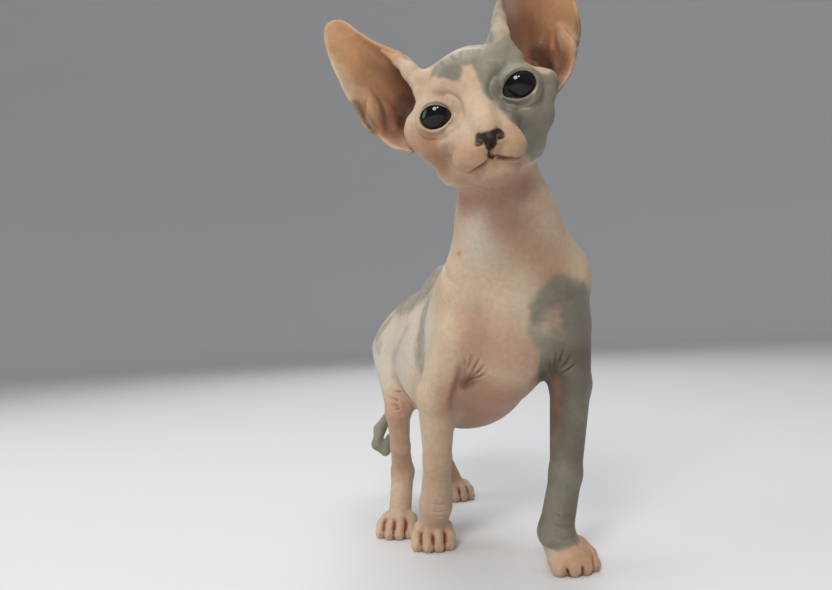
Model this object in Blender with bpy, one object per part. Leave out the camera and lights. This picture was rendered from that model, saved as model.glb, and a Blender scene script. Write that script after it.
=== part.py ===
"""Standing sphynx kitten, life size, as a still model.

The body is one rule: flesh is a smooth joining of tapering round bars and egg-shaped
lumps laid along a skeleton of named joints.  Blender primitives are laid over the
skeleton, voxel-remeshed into one hull, settled on the rule, and parted with thin cuts
into head, neck, trunk, tail lengths, legs and paws.  Ears and eyes are made apart.

Frame: metres, +Z up, the kitten faces -Y, +X is its left.  The origin lies on the floor
under the middle of the kitten's bounding box; the skeleton below is measured from a point
on the floor midway between the fore and hind feet, and the whole is moved over at the end.
"""
from collections import namedtuple
from math import cos, radians, sin

import bmesh
import bpy
import numpy as np
from mathutils import Matrix, Vector

MM = 0.001
GAP = 0.3                     # clear space between neighbouring solids, mm
VOXEL = 2.6                   # hull remesh size, mm
HULL_TRIANGLES = 4500         # triangles left on the whole hull before it is parted
FLOOR_SINK = 0.8              # how far the pads are pressed flat by the floor, mm
MIDDLE = (-19.3, -12.9, 0.0)  # middle of the bounding box on the floor, from midway

# ---- skeleton, mm ------------------------------------------------------------------
JOINT = {
    "withers": (4, -50, 139), "mid_back": (1, -4, 138), "loin": (-1, 34, 123),
    "croup": (-4, 64, 114),
    "neck_low": (5, -68, 141), "neck_mid": (-6, -84.5, 162), "nape": (-15, -93.5, 186),
    "throat_l": (-2, -92, 168), "point_l": (20, -78, 140),
    "throat_r": (-15, -78, 166), "point_r": (-15, -60, 135),
    "shoulder_l": (26, -74, 114), "elbow_l": (33.8, -65, 87), "forearm_l": (27.5, -66, 45),
    "wrist_l": (21.4, -64, 18),
    "shoulder_r": (-18, -60, 112), "elbow_r": (-25, -38, 84), "forearm_r": (-21, -24, 50),
    "wrist_r": (-18, -10.5, 24),
    "hip_l": (14, 52, 104), "knee_l": (21, 40, 70), "shin_l": (20, 66, 51),
    "hock_l": (19.5, 86, 39),
    "hip_r": (-13.5, 50, 104), "knee_r": (-25, 25, 70), "shin_r": (-21.5, 34.5, 48),
    "hock_r": (-17.5, 44.5, 31),
}
TAIL = ((-3, 74, 110), (-1, 92, 99), (2.5, 103, 80), (-2, 106, 61), (-14, 102, 49),
        (-17.5, 98, 39.5), (-12.5, 96, 35), (-9, 96, 44))
TAIL_R = (7.0, 5.2, 4.5, 4.0, 3.7, 3.3, 2.9, 2.2)

# ---- head frame: x to the kitten's left, y to the back, z up, origin between the eyes
HEAD_AT = (-35.8, -120.4, 200.5)
HEAD_YAW, HEAD_PITCH, HEAD_ROLL = -29.6, 11.1, -13.4
EYE_AT = {"left": (16.6, 6.4, 0.2), "right": (-15.2, 6.4, -0.4)}     # centres of the eyeballs
EYE_R = 8.4

# ---- ears, head frame, x outwards: inner and outer edge from root to tip
EAR_EDGES = {
    "left": (((8, 13, 18.5), (12, 14, 23.4), (15.2, 16, 29.3), (20.2, 18.5, 38), (29, 21.5, 51.5),
              (38, 23.5, 58.4)),
             ((27.8, 10.5, -9), (31, 10.5, -5.4), (38, 12, 0.4), (40.9, 14, 7.4), (44.6, 15.8, 11.4),
              (46.6, 17, 18), (47.6, 19, 33), (46.2, 21.5, 48.5), (38, 23.5, 58.4))),
    "right": (((12.5, 13, 18.5), (18.2, 13, 22), (22.5, 15.5, 30), (32.2, 18.5, 39.3),
               (40.2, 21.5, 50.5), (46.6, 23, 54.6)),
              ((30, 10, -9), (36.3, 10.5, -4.8), (42.4, 13.5, 3.6), (46.8, 15.5, 9.6),
               (49.6, 18, 21.5), (52.2, 20, 37), (52, 22, 50.4), (46.6, 23, 54.6))),
}
EAR_BACK = (-0.22, 0.96, 0.05)     # which way the cup is hollowed
EAR_DEPTH = (14.0, 17.5, 15.5, 12.5, 9.5, 7.0, 4.5, 2.0, 0.6)      # of the cup, root to tip
EAR_OPEN_ROOT, EAR_OPEN_TIP = 88.0, 45.0                           # half-angle of its curl, degrees
EAR_WALL = 2.0

Bar = namedtuple("Bar", "a b ra rb")
Lump = namedtuple("Lump", "c r")
Paw = namedtuple("Paw", "x y heading width length height")

# x, y: middle of the toes' front on the floor; heading: degrees from -Y towards +X
PAWS = {
    "fore_l": Paw(25.8, -78.4, -5, 22.5, 25, 14.5), "fore_r": Paw(-23, -17, -22, 21.5, 25, 14.0),
    "hind_l": Paw(29.5, 67, -10, 20.5, 27, 12.5), "hind_r": Paw(-35.2, 12.8, -32, 21.5, 27, 12.5),
}

SKULL = (
    Lump((0, 21, 3), (25, 25, 18.5)), Lump((0, 19, 9), (17, 17, 15)),    # cranium
    Lump((0, 7, 8.5), (15, 10, 10)),                                     # forehead
    Bar((5.5, 2, -5), (7, -7, -15.5), 5.2, 5.0), Bar((-4.5, 2, -5), (-6, -7, -15.5), 5.2, 5.0),
    Bar((9, 15, 13), (14, 17, 15.5), 6.0, 4.5), Bar((-9, 15, 13), (-16, 17, 16), 6.5, 5.0),
    Bar((10, 2, -11), (19.6, 12, -10.5), 6.6, 8.2), Bar((-10, 2, -11), (-20, 12, -8.5), 6.6, 8.0),
    Bar((0, 8, -10), (0.5, -6, -18), 12.0, 7.0),                         # muzzle
    Bar((0, -2, -25), (14, 17, -19), 6.6, 8.0), Bar((0, -2, -25), (-15, 17, -19), 6.6, 8.6),
    Bar((15, 22, 5), (21, 28, 8), 8.5, 6.0), Bar((-15, 22, 5), (-21, 28, 8), 8.5, 6.0),
)
BRIDGE = (Bar((0.6, 2, 3.5), (1.4, -13, -12.6), 6.2, 4.3),)
LIDS = (Lump((16.6, 6.4, 0.2), (10.3, 10.3, 10.3)), Lump((-15.2, 6.4, -0.4), (10.3, 10.3, 10.3)))
PADS = (Lump((7.6, -8.6, -20.3), (6.2, 6.0, 5.6)), Lump((-6.8, -8.6, -19.6), (7.4, 6.6, 6.0)))
CHIN = (Lump((0.5, -4.6, -27.4), (9.0, 6.2, 5.0)),)
NOSE = (Lump((1.5, -14.6, -16.6), (4.0, 3.6, 3.9)), Lump((4.9, -13.4, -16.8), (2.1, 2.8, 2.5)),
        Lump((-1.9, -13.4, -16.6), (2.1, 2.8, 2.5)))
# each stage of the head and the width of the fillet that joins it on, mm
HEAD_STAGES = ((SKULL, 5.0), (BRIDGE, 4.0), (LIDS, 2.0), (PADS, 3.4), (CHIN, 2.4), (NOSE, 1.5))
SOCKET_STAGE = 2                   # the eye sockets are hollowed before this stage
SOCKET_FILLET = 3.2
# folds of skin in front of the ears
LEFT_RIM = ((9, 13, 15), (17, 12, 16), (19.2, 11, 12), (19.6, 11, 8), (22.4, 10.5, 4.8),
            (26, 10, 2.6), (28.8, 10, 0.4), (27.2, 11, -4), (23, 11.5, -9))
RIGHT_RIM = ((-9, 13, 15), (-17, 12, 16), (-19.2, 11, 12), (-19.6, 11, 8), (-22.4, 10.5, 4.8),
             (-25.4, 10, 2.2), (-27.2, 10, -1), (-26.8, 10.6, -4.6), (-23, 11.5, -9))
RIM_R = (4.0, 3.2, 2.5, 2.3, 2.6, 2.6, 2.7, 3.0, 3.8)
RIM_FILLET = 2.6
TRUNK = (
    Lump((2, -52, 116), (27.5, 28, 35.5)),    # fore chest
    Lump((2, -20, 107.5), (32, 44, 38)),      # ribs
    Lump((4, -3, 94.5), (33.5, 39, 32.5)),    # round belly
    Lump((1, 34, 108), (24, 36, 26)),         # flank
    Lump((1, 52, 107), (23.5, 24, 23)),       # rump
    Lump((24, -68, 130), (16.5, 19, 23)), Lump((-14, -49, 121), (11, 18, 24)),   # shoulders
    Lump((17, 44, 92), (14, 25, 24)), Lump((-14, 42, 92), (11, 24, 23)),         # thighs
)
SPINE_R = (13.0, 12.5, 13.0, 11.5)
NECK_R = (23.5, 18.2, 17.0)
THROAT_R = {"l": (8.0, 14.0), "r": (8.0, 10.5)}

LEG_R = {
    "fore_l": (12.8, 9.7, 7.4, 8.0, 7.6), "fore_r": (12.0, 9.8, 7.0, 8.2, 7.6),
    "hind_l": (16.5, 7.0, 5.5, 6.6, 6.4), "hind_r": (16.5, 7.0, 5.5, 6.6, 6.4),
}
EYE_OPENING = {"left": (6.2, 4.8), "right": (5.9, 4.5)}    # half-width and half-height
EYE_SLANT = 9.0                    # outer corner raised, degrees
EYE_TURN = 9.0                     # gaze turned outwards, degrees


def rot(axis, degrees):
    return Matrix.Rotation(radians(degrees), 3, axis)


HEAD_TURN = rot("Z", HEAD_YAW) @ rot("X", HEAD_PITCH) @ rot("Y", HEAD_ROLL)


def head_to_body(point):
    """A point of the head frame, given in the body's frame."""
    return tuple(HEAD_TURN @ Vector(point) + Vector(HEAD_AT))


# ---- the flesh rule -----------------------------------------------------------------
def bar_distance(p, bar):
    a, b = np.array(bar.a, float), np.array(bar.b, float)
    ab = b - a
    t = np.clip((p - a) @ ab / (ab @ ab), 0.0, 1.0)
    return np.linalg.norm(p - a - t[:, None] * ab, axis=1) - (bar.ra + (bar.rb - bar.ra) * t)


def lump_distance(p, lump):
    q = (p - np.array(lump.c, float)) / np.array(lump.r, float)
    k = np.linalg.norm(q, axis=1)
    slope = np.linalg.norm(q / np.array(lump.r, float), axis=1)
    return k * (k - 1.0) / np.maximum(slope, 1e-9)


def distance(p, shape):
    return bar_distance(p, shape) if isinstance(shape, Bar) else lump_distance(p, shape)


def blend(a, b, k):
    """Smooth union of two distances; k is the width of the fillet."""
    h = np.clip(0.5 + 0.5 * (b - a) / k, 0.0, 1.0)
    return b + (a - b) * h - k * h * (1.0 - h)


def blend_all(p, shapes, k):
    total = distance(p, shapes[0])
    for shape in shapes[1:]:
        total = blend(total, distance(p, shape), k)
    return total


def carve(a, b, k):
    """Take the solid of distance b out of the solid of distance a, with a rounded edge."""
    return -blend(-a, b, k)


def chain(names, radii):
    points = [JOINT[n] if isinstance(n, str) else n for n in names]
    return [Bar(points[i], points[i + 1], radii[i], radii[i + 1]) for i in range(len(points) - 1)]


def paw_frame(paw):
    ahead = np.array((sin(radians(paw.heading)), -cos(radians(paw.heading)), 0.0))
    side = np.array((-ahead[1], ahead[0], 0.0))
    return np.array((paw.x, paw.y, 0.0)), ahead, side


def paw_shapes(paw):
    """The lump of the sole, and the bars of four toes, the middle pair set further forward."""
    front, ahead, side = paw_frame(paw)
    up = np.array((0.0, 0.0, 1.0))
    r = paw.width / 5.9
    back = front - ahead * paw.length * 0.62
    sole = Lump(tuple(back + up * paw.height * 0.48),
                (paw.width * 0.41, paw.length * 0.40, paw.height * 0.5))
    toes = []
    for place in (-1.5, -0.5, 0.5, 1.5):
        reach = r + (2.6 if abs(place) > 1 else 0.0)
        tip = front - ahead * reach + side * place * r * 1.5 + up * r * 0.98
        middle = tip - ahead * r * 0.9 + up * r * 0.9 - side * place * 0.1
        knuckle = front - ahead * (reach + paw.length * 0.36) + side * place * r * 1.3
        knuckle += up * paw.height * 0.72
        toes.append(Bar(tuple(knuckle), tuple(middle), r * 0.92, r))
        toes.append(Bar(tuple(middle), tuple(tip), r, r * 0.96))
    return sole, toes


def leg_shapes(paw_name):
    paw = PAWS[paw_name]
    front, ahead, _ = paw_frame(paw)
    end, s = paw_name.split("_")
    instep = tuple(front - ahead * paw.length * 0.62 + np.array((0.0, 0.0, paw.height * 0.72)))
    joints = ("shoulder", "elbow", "forearm", "wrist") if end == "fore" else ("hip", "knee", "shin", "hock")
    return chain([f"{joint}_{s}" for joint in joints] + [instep], LEG_R[paw_name])


def eye_axes(name):
    """Outward, upward and gaze directions of an eye in the head's frame, one row each."""
    side = 1 if name == "left" else -1
    t, s = radians(EYE_TURN), radians(EYE_SLANT)
    out = np.array((cos(t) * side, sin(t), 0.0))
    up = np.array((0.0, 0.0, 1.0))
    gaze = np.array((sin(t) * side, -cos(t), 0.0))
    return np.array((out * cos(s) + up * sin(s), up * cos(s) - out * sin(s), gaze))


def socket_distance(q, name):
    """Distance from the hollow that the lids sit in, for points in the head's frame."""
    a, b = EYE_OPENING[name]
    local = (q - np.array(EYE_AT[name])) @ eye_axes(name).T
    hollow = Lump((-1.6, 0.3, EYE_R * 0.95), (a + 4.2, b + 3.6, 6.4))
    return lump_distance(local, hollow)


def into_head(p):
    return (p - np.array(HEAD_AT)) @ np.array(HEAD_TURN)


def head_distance(p):
    q = into_head(p)
    total = blend_all(q, SKULL, HEAD_STAGES[0][1])
    for number, (shapes, fillet) in enumerate(HEAD_STAGES[1:], 1):
        if number == SOCKET_STAGE:
            for name in EYE_AT:
                total = carve(total, socket_distance(q, name), SOCKET_FILLET)
        for shape in shapes:
            total = blend(total, distance(q, shape), fillet)
    return total


def core_distance(p):
    core = blend_all(p, TRUNK, 15.0)
    spine = blend_all(p, chain(("withers", "mid_back", "loin", "croup"), SPINE_R), 8.0)
    core = blend(core, spine, 12.0)
    neck = blend_all(p, chain(("neck_low", "neck_mid", "nape"), NECK_R), 8.0)
    core = blend(core, neck, 16.0)
    for s, radii in THROAT_R.items():
        core = blend(core, distance(p, chain((f"throat_{s}", f"point_{s}"), radii)[0]), 12.0)
    core = blend(core, head_distance(p), 7.0)
    q = into_head(p)
    for bar in chain(LEFT_RIM, RIM_R) + chain(RIGHT_RIM, RIM_R):
        core = blend(core, distance(q, bar), RIM_FILLET)
    return core


def flesh(p):
    """Distance in mm from each point of p to the kitten's skin, negative inside."""
    core = core_distance(p)
    total = core
    for name, paw in PAWS.items():
        sole, toes = paw_shapes(paw)
        limb = blend(blend_all(p, leg_shapes(name), 3.0), distance(p, sole), 2.2)
        limb = blend(limb, blend_all(p, toes, 1.0), 2.6)
        total = np.minimum(total, blend(core, limb, 7.0))
    tail = blend_all(p, chain(TAIL, TAIL_R), 3.0)
    return np.minimum(total, blend(core, tail, 8.0))


def settle(mesh, steps=6, reach=4.0):
    """Move the mesh's points along the rule's slope until they lie on the skin."""
    p = np.empty(len(mesh.vertices) * 3)
    mesh.vertices.foreach_get("co", p)
    p = p.reshape(-1, 3) / MM
    eps = 0.15
    for _ in range(steps):
        d = flesh(p)
        slope = np.stack([flesh(p + e) - flesh(p - e) for e in np.eye(3) * eps], 1) / (2 * eps)
        move = d[:, None] * slope / np.maximum((slope ** 2).sum(1), 0.2)[:, None]
        size = np.linalg.norm(move, axis=1, keepdims=True)
        p -= move * np.minimum(1.0, reach / np.maximum(size, 1e-9))
    mesh.vertices.foreach_set("co", (p * MM).ravel())
    mesh.update()


# ---- Blender helpers ----------------------------------------------------------------
def clear_scene():
    for obj in list(bpy.data.objects):
        bpy.data.objects.remove(obj, do_unlink=True)


def add_object(name, mesh):
    obj = bpy.data.objects.new(name, mesh)
    bpy.context.scene.collection.objects.link(obj)
    return obj


def from_bmesh(name, bm):
    mesh = bpy.data.meshes.new(name)
    bm.to_mesh(mesh)
    bm.free()
    return add_object(name, mesh)


def applied(obj):
    """Replace the object's mesh with what its modifiers make of it."""
    bpy.context.view_layer.update()
    graph = bpy.context.evaluated_depsgraph_get()
    mesh = bpy.data.meshes.new_from_object(obj.evaluated_get(graph))
    obj.modifiers.clear()
    old = obj.data
    obj.data = mesh
    bpy.data.meshes.remove(old)
    return obj


def boolean(obj, other, operation):
    mod = obj.modifiers.new("cut", "BOOLEAN")
    mod.operation, mod.solver, mod.object = operation, "EXACT", other
    return applied(obj)


def tidy(obj):
    bm = bmesh.new()
    bm.from_mesh(obj.data)
    bmesh.ops.remove_doubles(bm, verts=bm.verts, dist=0.02 * MM)
    bmesh.ops.dissolve_degenerate(bm, edges=bm.edges, dist=0.02 * MM)
    bmesh.ops.triangulate(bm, faces=bm.faces)
    bm.to_mesh(obj.data)
    bm.free()


def add_bar(bm, bar):
    """A tapering round bar: a cone frustum with a sphere at each end."""
    a, b = Vector(bar.a), Vector(bar.b)
    turn = (b - a).to_track_quat("Z", "Y").to_matrix().to_4x4()
    place = Matrix.Translation((a + b) / 2) @ turn
    bmesh.ops.create_cone(bm, cap_ends=True, segments=20, radius1=bar.ra, radius2=bar.rb,
                          depth=(b - a).length, matrix=place)
    for end, r in ((a, bar.ra), (b, bar.rb)):
        bmesh.ops.create_icosphere(bm, subdivisions=2, radius=r, matrix=Matrix.Translation(end))


def add_lump(bm, lump, frame=Matrix.Identity(4)):
    size = Matrix.Diagonal((*lump.r, 1.0))
    bmesh.ops.create_icosphere(bm, subdivisions=3, radius=1.0,
                               matrix=frame @ Matrix.Translation(lump.c) @ size)


def hull():
    """The whole kitten but for ears and eyes, as one closed mesh on the rule."""
    bm = bmesh.new()
    head_frame = Matrix.Translation(HEAD_AT) @ HEAD_TURN.to_4x4()
    shapes = list(TRUNK) + chain(("withers", "mid_back", "loin", "croup"), SPINE_R)
    shapes += chain(("neck_low", "neck_mid", "nape"), NECK_R) + chain(TAIL, TAIL_R)
    for s, radii in THROAT_R.items():
        shapes += chain((f"throat_{s}", f"point_{s}"), radii)
    for name, paw in PAWS.items():
        sole, toes = paw_shapes(paw)
        shapes += leg_shapes(name) + [sole] + toes
    for shape in shapes:
        add_bar(bm, shape) if isinstance(shape, Bar) else add_lump(bm, shape)
    head = [shape for stage, _ in HEAD_STAGES for shape in stage]
    for shape in head + chain(LEFT_RIM, RIM_R) + chain(RIGHT_RIM, RIM_R):
        if isinstance(shape, Bar):
            add_bar(bm, shape._replace(a=head_to_body(shape.a), b=head_to_body(shape.b)))
        else:
            add_lump(bm, shape, head_frame)
    bmesh.ops.scale(bm, vec=(MM, MM, MM), verts=bm.verts)
    body = from_bmesh("hull", bm)
    remesh = body.modifiers.new("hull", "REMESH")
    remesh.mode, remesh.voxel_size = "VOXEL", VOXEL * MM
    applied(body)
    settle(body.data)
    thin = body.modifiers.new("fewer", "DECIMATE")
    thin.ratio = HULL_TRIANGLES / (2.0 * len(body.data.polygons))
    applied(body)
    settle(body.data, steps=3, reach=1.0)
    flatten_soles(body)
    return body


def flatten_soles(body):
    """Press the pads flat on the floor: what would sink below it is cut off level."""
    level = FLOOR_SINK * MM
    bm = bmesh.new()
    bm.from_mesh(body.data)
    bmesh.ops.bisect_plane(bm, geom=list(bm.verts) + list(bm.edges) + list(bm.faces), dist=1e-7,
                           plane_co=(0, 0, level), plane_no=(0, 0, -1), clear_outer=True)
    bmesh.ops.holes_fill(bm, edges=[e for e in bm.edges if e.is_boundary])
    bmesh.ops.translate(bm, vec=(0, 0, -level), verts=bm.verts)
    bmesh.ops.recalc_face_normals(bm, faces=bm.faces)
    bm.to_mesh(body.data)
    bm.free()
    tidy(body)


def cut_block(at, normal, low, high):
    """A box from low to high, sliced off level with the cutting plane."""
    low, high = Vector(low), Vector(high)
    bm = bmesh.new()
    place = Matrix.Translation((low + high) / 2) @ Matrix.Diagonal((*(high - low), 1.0))
    bmesh.ops.create_cube(bm, size=1.0, matrix=place)
    bmesh.ops.bisect_plane(bm, geom=list(bm.verts) + list(bm.edges) + list(bm.faces),
                           plane_co=at, plane_no=normal, clear_inner=True)
    bmesh.ops.holes_fill(bm, edges=[e for e in bm.edges if e.is_boundary])
    bmesh.ops.recalc_face_normals(bm, faces=bm.faces)
    bmesh.ops.scale(bm, vec=(MM, MM, MM), verts=bm.verts)
    block = from_bmesh("cut", bm)
    block.hide_render, block.display_type = True, "WIRE"
    return block


def part_off(body, name, at, normal, low, high):
    """Cut a named piece off the body, leaving a thin gap between the two."""
    piece = add_object(name, body.data.copy())
    rim = Vector((GAP, GAP, GAP))
    near = Vector(at) - Vector(normal).normalized() * GAP
    inner = cut_block(at, normal, low, high)
    outer = cut_block(near, normal, Vector(low) - rim, Vector(high) + rim)
    boolean(piece, inner, "INTERSECT")
    boolean(body, outer, "DIFFERENCE")
    for cutter in (inner, outer):
        bpy.data.objects.remove(cutter, do_unlink=True)
    tidy(piece)
    tidy(body)
    return piece


def ball(name, at, radius, rings=10):
    bm = bmesh.new()
    bmesh.ops.create_uvsphere(bm, u_segments=2 * rings, v_segments=rings, radius=radius * MM,
                              matrix=Matrix.Translation(Vector(at) * MM))
    return from_bmesh(name, bm)


def even_steps(points, count):
    """Points at even steps along a line, from its first to its last."""
    line = np.array(points, float)
    run = np.concatenate([[0.0], np.cumsum(np.linalg.norm(np.diff(line, axis=0), axis=1))])
    wanted = np.linspace(0.0, run[-1], count)
    return np.stack([np.interp(wanted, run, line[:, i]) for i in range(3)], 1)


def ear(name, side, edges, across=9, along=11):
    """A cupped leaf between an inner and an outer edge, hollowed towards the back."""
    bm = bmesh.new()
    bmesh.ops.create_grid(bm, x_segments=across, y_segments=along, size=1.0)
    inner, outer = (even_steps(edge, along + 1) for edge in edges)
    levels = np.linspace(0.0, 1.0, len(EAR_DEPTH))
    back = Vector(EAR_BACK).normalized()
    for v in bm.verts:
        u, t = v.co.x, (v.co.y + 1) / 2
        row = round(t * along)
        spread = radians(EAR_OPEN_ROOT * (1 - t) + EAR_OPEN_TIP * t)
        share = 0.5 + 0.5 * sin(u * spread) / sin(spread)
        hollow = (cos(u * spread) - cos(spread)) / (1 - cos(spread))
        point = Vector(inner[row]).lerp(Vector(outer[row]), share)
        point += back * hollow * float(np.interp(t, levels, EAR_DEPTH))
        point.x *= side
        v.co = Vector(head_to_body(point)) * MM
    bmesh.ops.remove_doubles(bm, verts=bm.verts, dist=0.02 * MM)
    if side < 0:
        bmesh.ops.reverse_faces(bm, faces=bm.faces)
    obj = from_bmesh(name, bm)
    wall = obj.modifiers.new("wall", "SOLIDIFY")
    wall.thickness, wall.offset, wall.use_even_offset = EAR_WALL * MM, 0.0, False
    applied(obj)
    fix_normals(obj)
    return obj


def fix_normals(obj):
    bm = bmesh.new()
    bm.from_mesh(obj.data)
    bmesh.ops.recalc_face_normals(bm, faces=bm.faces)
    bm.to_mesh(obj.data)
    bm.free()


def grown(obj, by):
    """A copy of the object moved outwards along its normals, used as a cutter."""
    copy = add_object("grown", obj.data.copy())
    bm = bmesh.new()
    bm.from_mesh(copy.data)
    bm.normal_update()
    for v in bm.verts:
        v.co += v.normal * by * MM
    bm.to_mesh(copy.data)
    bm.free()
    return copy


def material(name, colour, roughness, metallic=0.0):
    mat = bpy.data.materials.new(name)
    mat.use_nodes = True
    shader = mat.node_tree.nodes["Principled BSDF"]
    shader.inputs["Base Color"].default_value = (*colour, 1.0)
    shader.inputs["Roughness"].default_value = roughness
    shader.inputs["Metallic"].default_value = metallic
    mat.diffuse_color = (*colour, 1.0)
    return mat


def eye_opening(name):
    """A cutter that opens the lids in front of the eyeball, along the gaze."""
    bm = bmesh.new()
    size = Matrix.Diagonal((*EYE_OPENING[name], 1.0, 1.0))
    bmesh.ops.create_cone(bm, cap_ends=True, segments=20, radius1=1.0, radius2=1.0, depth=16.0,
                          matrix=size)
    turn = Matrix([Vector(row) for row in eye_axes(name)]).transposed().to_4x4()
    place = Matrix.Translation(EYE_AT[name]) @ turn @ Matrix.Translation((0, 0, 8.0))
    head = Matrix.Translation(HEAD_AT) @ HEAD_TURN.to_4x4()
    bmesh.ops.transform(bm, matrix=head @ place, verts=bm.verts)
    bmesh.ops.scale(bm, vec=(MM, MM, MM), verts=bm.verts)
    bmesh.ops.recalc_face_normals(bm, faces=bm.faces)
    return from_bmesh("opening", bm)


# name: (a point of the cutting plane, its normal towards the piece, box from, box to)
CUTS = {
    "head": ((-11.5, -89, 174), (-0.36, -0.60, 0.72), (-80, -160, 140), (40, -40, 250)),
    "neck": ((0, -72, 151), (-0.33, -0.55, 0.77), (-60, -140, 100), (60, -30, 220)),
    "forepaw_left": ((22, -64, 21), (0, 0, -1), (6, -90, -5), (42, -44, 40)),
    "forepaw_right": ((-20, -11, 22), (0, 0, -1), (-42, -30, -5), (-6, 9, 40)),
    "hindpaw_right": ((-25, 34, 15), (-0.2, -0.2, -1), (-50, 9.5, -5), (-10, 52, 40)),
    "hindpaw_left": ((26, 82, 15), (0, -0.2, -1), (10, 60, -5), (45, 105, 40)),
    "foreleg_left": ((29, -60, 92), (0.60, -0.25, -0.76), (10, -98, -5), (55, -51.5, 130)),
    "foreleg_right": ((-16.5, -40, 79.5), (-0.66, -0.40, -0.64), (-52, -85, -5), (-8, 1, 130)),
    "shank_right": ((-25.5, 30, 59), (0.1, 0.5, -0.86), (-50, 8.5, -5), (-6, 60, 64.5)),
    "shank_left": ((22, 53, 60), (0, 0.85, -0.5), (6, 30, -5), (45, 110, 69)),
    "thigh_right": ((-20, 40, 92), (-0.72, 0.40, -0.69), (-50, 8.5, 30), (-5, 81, 130)),
    "thigh_left": ((18, 42, 92), (0.72, 0.40, -0.69), (5, 8.5, 30), (50, 81, 130)),
    "tail_tip": ((-5, 105, 58), (-0.7, -0.2, -0.7), (-36, 84, 15), (8, 120, 75)),
    "tail_mid": ((0, 95.5, 93), (0.16, 0.46, -0.86), (-36, 84, 15), (11, 125, 112)),
    "tail_base": ((-4, 81, 107), (-0.1, 0.8, -0.6), (-22, 80, 60), (14, 130, 130)),
}


def build():
    clear_scene()
    pink = material("pink_skin", (0.52, 0.36, 0.27), 0.55)
    grey = material("grey_skin", (0.24, 0.23, 0.18), 0.55)
    tan = material("tan_skin", (0.45, 0.25, 0.16), 0.55)
    dark = material("dark_eye", (0.01, 0.012, 0.012), 0.08)
    body = hull()
    made = {}
    for name, cut in CUTS.items():
        made[name] = part_off(body, name, *cut)
    body.name = body.data.name = "trunk"
    made["trunk"] = body
    head = made["head"]
    for name, place in EYE_AT.items():
        centre = head_to_body(place)
        for cutter in (ball("socket", centre, EYE_R + GAP), eye_opening(name)):
            boolean(head, cutter, "DIFFERENCE")
            bpy.data.objects.remove(cutter, do_unlink=True)
        made[f"eye_{name}"] = ball(f"eye_{name}", centre, EYE_R)
    tidy(head)
    cutter = grown(head, GAP)
    for name, side in (("left", 1), ("right", -1)):
        leaf = ear(f"ear_{name}", side, EAR_EDGES[name])
        boolean(leaf, cutter, "DIFFERENCE")
        tidy(leaf)
        made[leaf.name] = leaf
    bpy.data.objects.remove(cutter, do_unlink=True)
    for name, obj in made.items():
        finish = pink
        if name.startswith("eye"):
            finish = dark
        elif name.startswith("ear"):
            finish = tan
        elif name.startswith("tail") or name == "foreleg_left":
            finish = grey
        obj.data.materials.clear()
        obj.data.materials.append(finish)
        obj.data.shade_smooth()
        obj.data.transform(Matrix.Translation(Vector(MIDDLE) * -MM))
    return made


build()
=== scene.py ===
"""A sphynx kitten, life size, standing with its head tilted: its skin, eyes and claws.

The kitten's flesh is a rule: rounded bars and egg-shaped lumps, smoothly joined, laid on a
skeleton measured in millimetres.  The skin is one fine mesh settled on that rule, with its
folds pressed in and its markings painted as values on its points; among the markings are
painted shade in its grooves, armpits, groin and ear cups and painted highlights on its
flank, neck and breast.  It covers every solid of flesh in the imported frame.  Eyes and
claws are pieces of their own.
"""
from __future__ import annotations

import logging
from dataclasses import dataclass, field
from enum import Enum
from math import cos, radians, sin
from typing import Callable, Sequence

import bmesh
import bpy
import numpy as np
from mathutils import Matrix, Vector, noise
from mathutils.kdtree import KDTree

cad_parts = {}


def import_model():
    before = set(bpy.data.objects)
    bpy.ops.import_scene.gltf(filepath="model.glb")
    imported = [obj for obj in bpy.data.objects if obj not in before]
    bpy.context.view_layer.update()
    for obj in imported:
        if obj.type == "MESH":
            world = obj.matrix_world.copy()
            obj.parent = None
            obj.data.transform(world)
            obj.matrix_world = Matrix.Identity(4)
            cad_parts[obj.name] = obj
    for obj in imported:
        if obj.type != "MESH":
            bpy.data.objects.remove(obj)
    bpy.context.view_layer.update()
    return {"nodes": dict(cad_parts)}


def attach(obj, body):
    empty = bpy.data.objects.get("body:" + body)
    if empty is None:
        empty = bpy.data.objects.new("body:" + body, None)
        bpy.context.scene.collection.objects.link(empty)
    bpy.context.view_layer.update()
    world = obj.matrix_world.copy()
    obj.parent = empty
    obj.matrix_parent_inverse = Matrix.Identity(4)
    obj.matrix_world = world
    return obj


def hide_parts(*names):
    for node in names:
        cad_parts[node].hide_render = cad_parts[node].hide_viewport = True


Point = tuple[float, float, float]
Array = np.ndarray
Field = Callable[[Array], Array]

MM = 0.001
MIDDLE = (-19.3, -12.9, 0.0)        # the frame's origin, as the skeleton measures it, mm
FAR = 200.0                         # a distance beyond every shape, mm
NEARBY = 10.0                       # how far outside its box a shape is still measured, mm
TINY = 1e-9                         # keeps a divisor away from nought
BAR_SIDES = 32                      # a bar's sides in the first rough mesh
BALL_SPLITS, LUMP_SPLITS = 3, 4     # how often the balls and lumps in it are split
TURN = radians(360.0)
log = logging.getLogger("kitten")


# ---- smooth joining -------------------------------------------------------------------
def eased(x: Array, low: float, high: float) -> Array:
    """Rise smoothly from 0 at low to 1 at high."""
    t = np.clip((x - low) / (high - low), 0.0, 1.0)
    return t * t * (3.0 - 2.0 * t)


def blend(a: Array, b: Array, k: float) -> Array:
    """Join two distances smoothly; k is the width of the fillet."""
    h = np.clip(0.5 + 0.5 * (b - a) / k, 0.0, 1.0)
    return b + (a - b) * h - k * h * (1.0 - h)


def carve(a: Array, b: Array, k: float) -> Array:
    """Take the solid of distance b out of the solid of distance a, with a rounded edge."""
    return -blend(-a, b, k)


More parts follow.
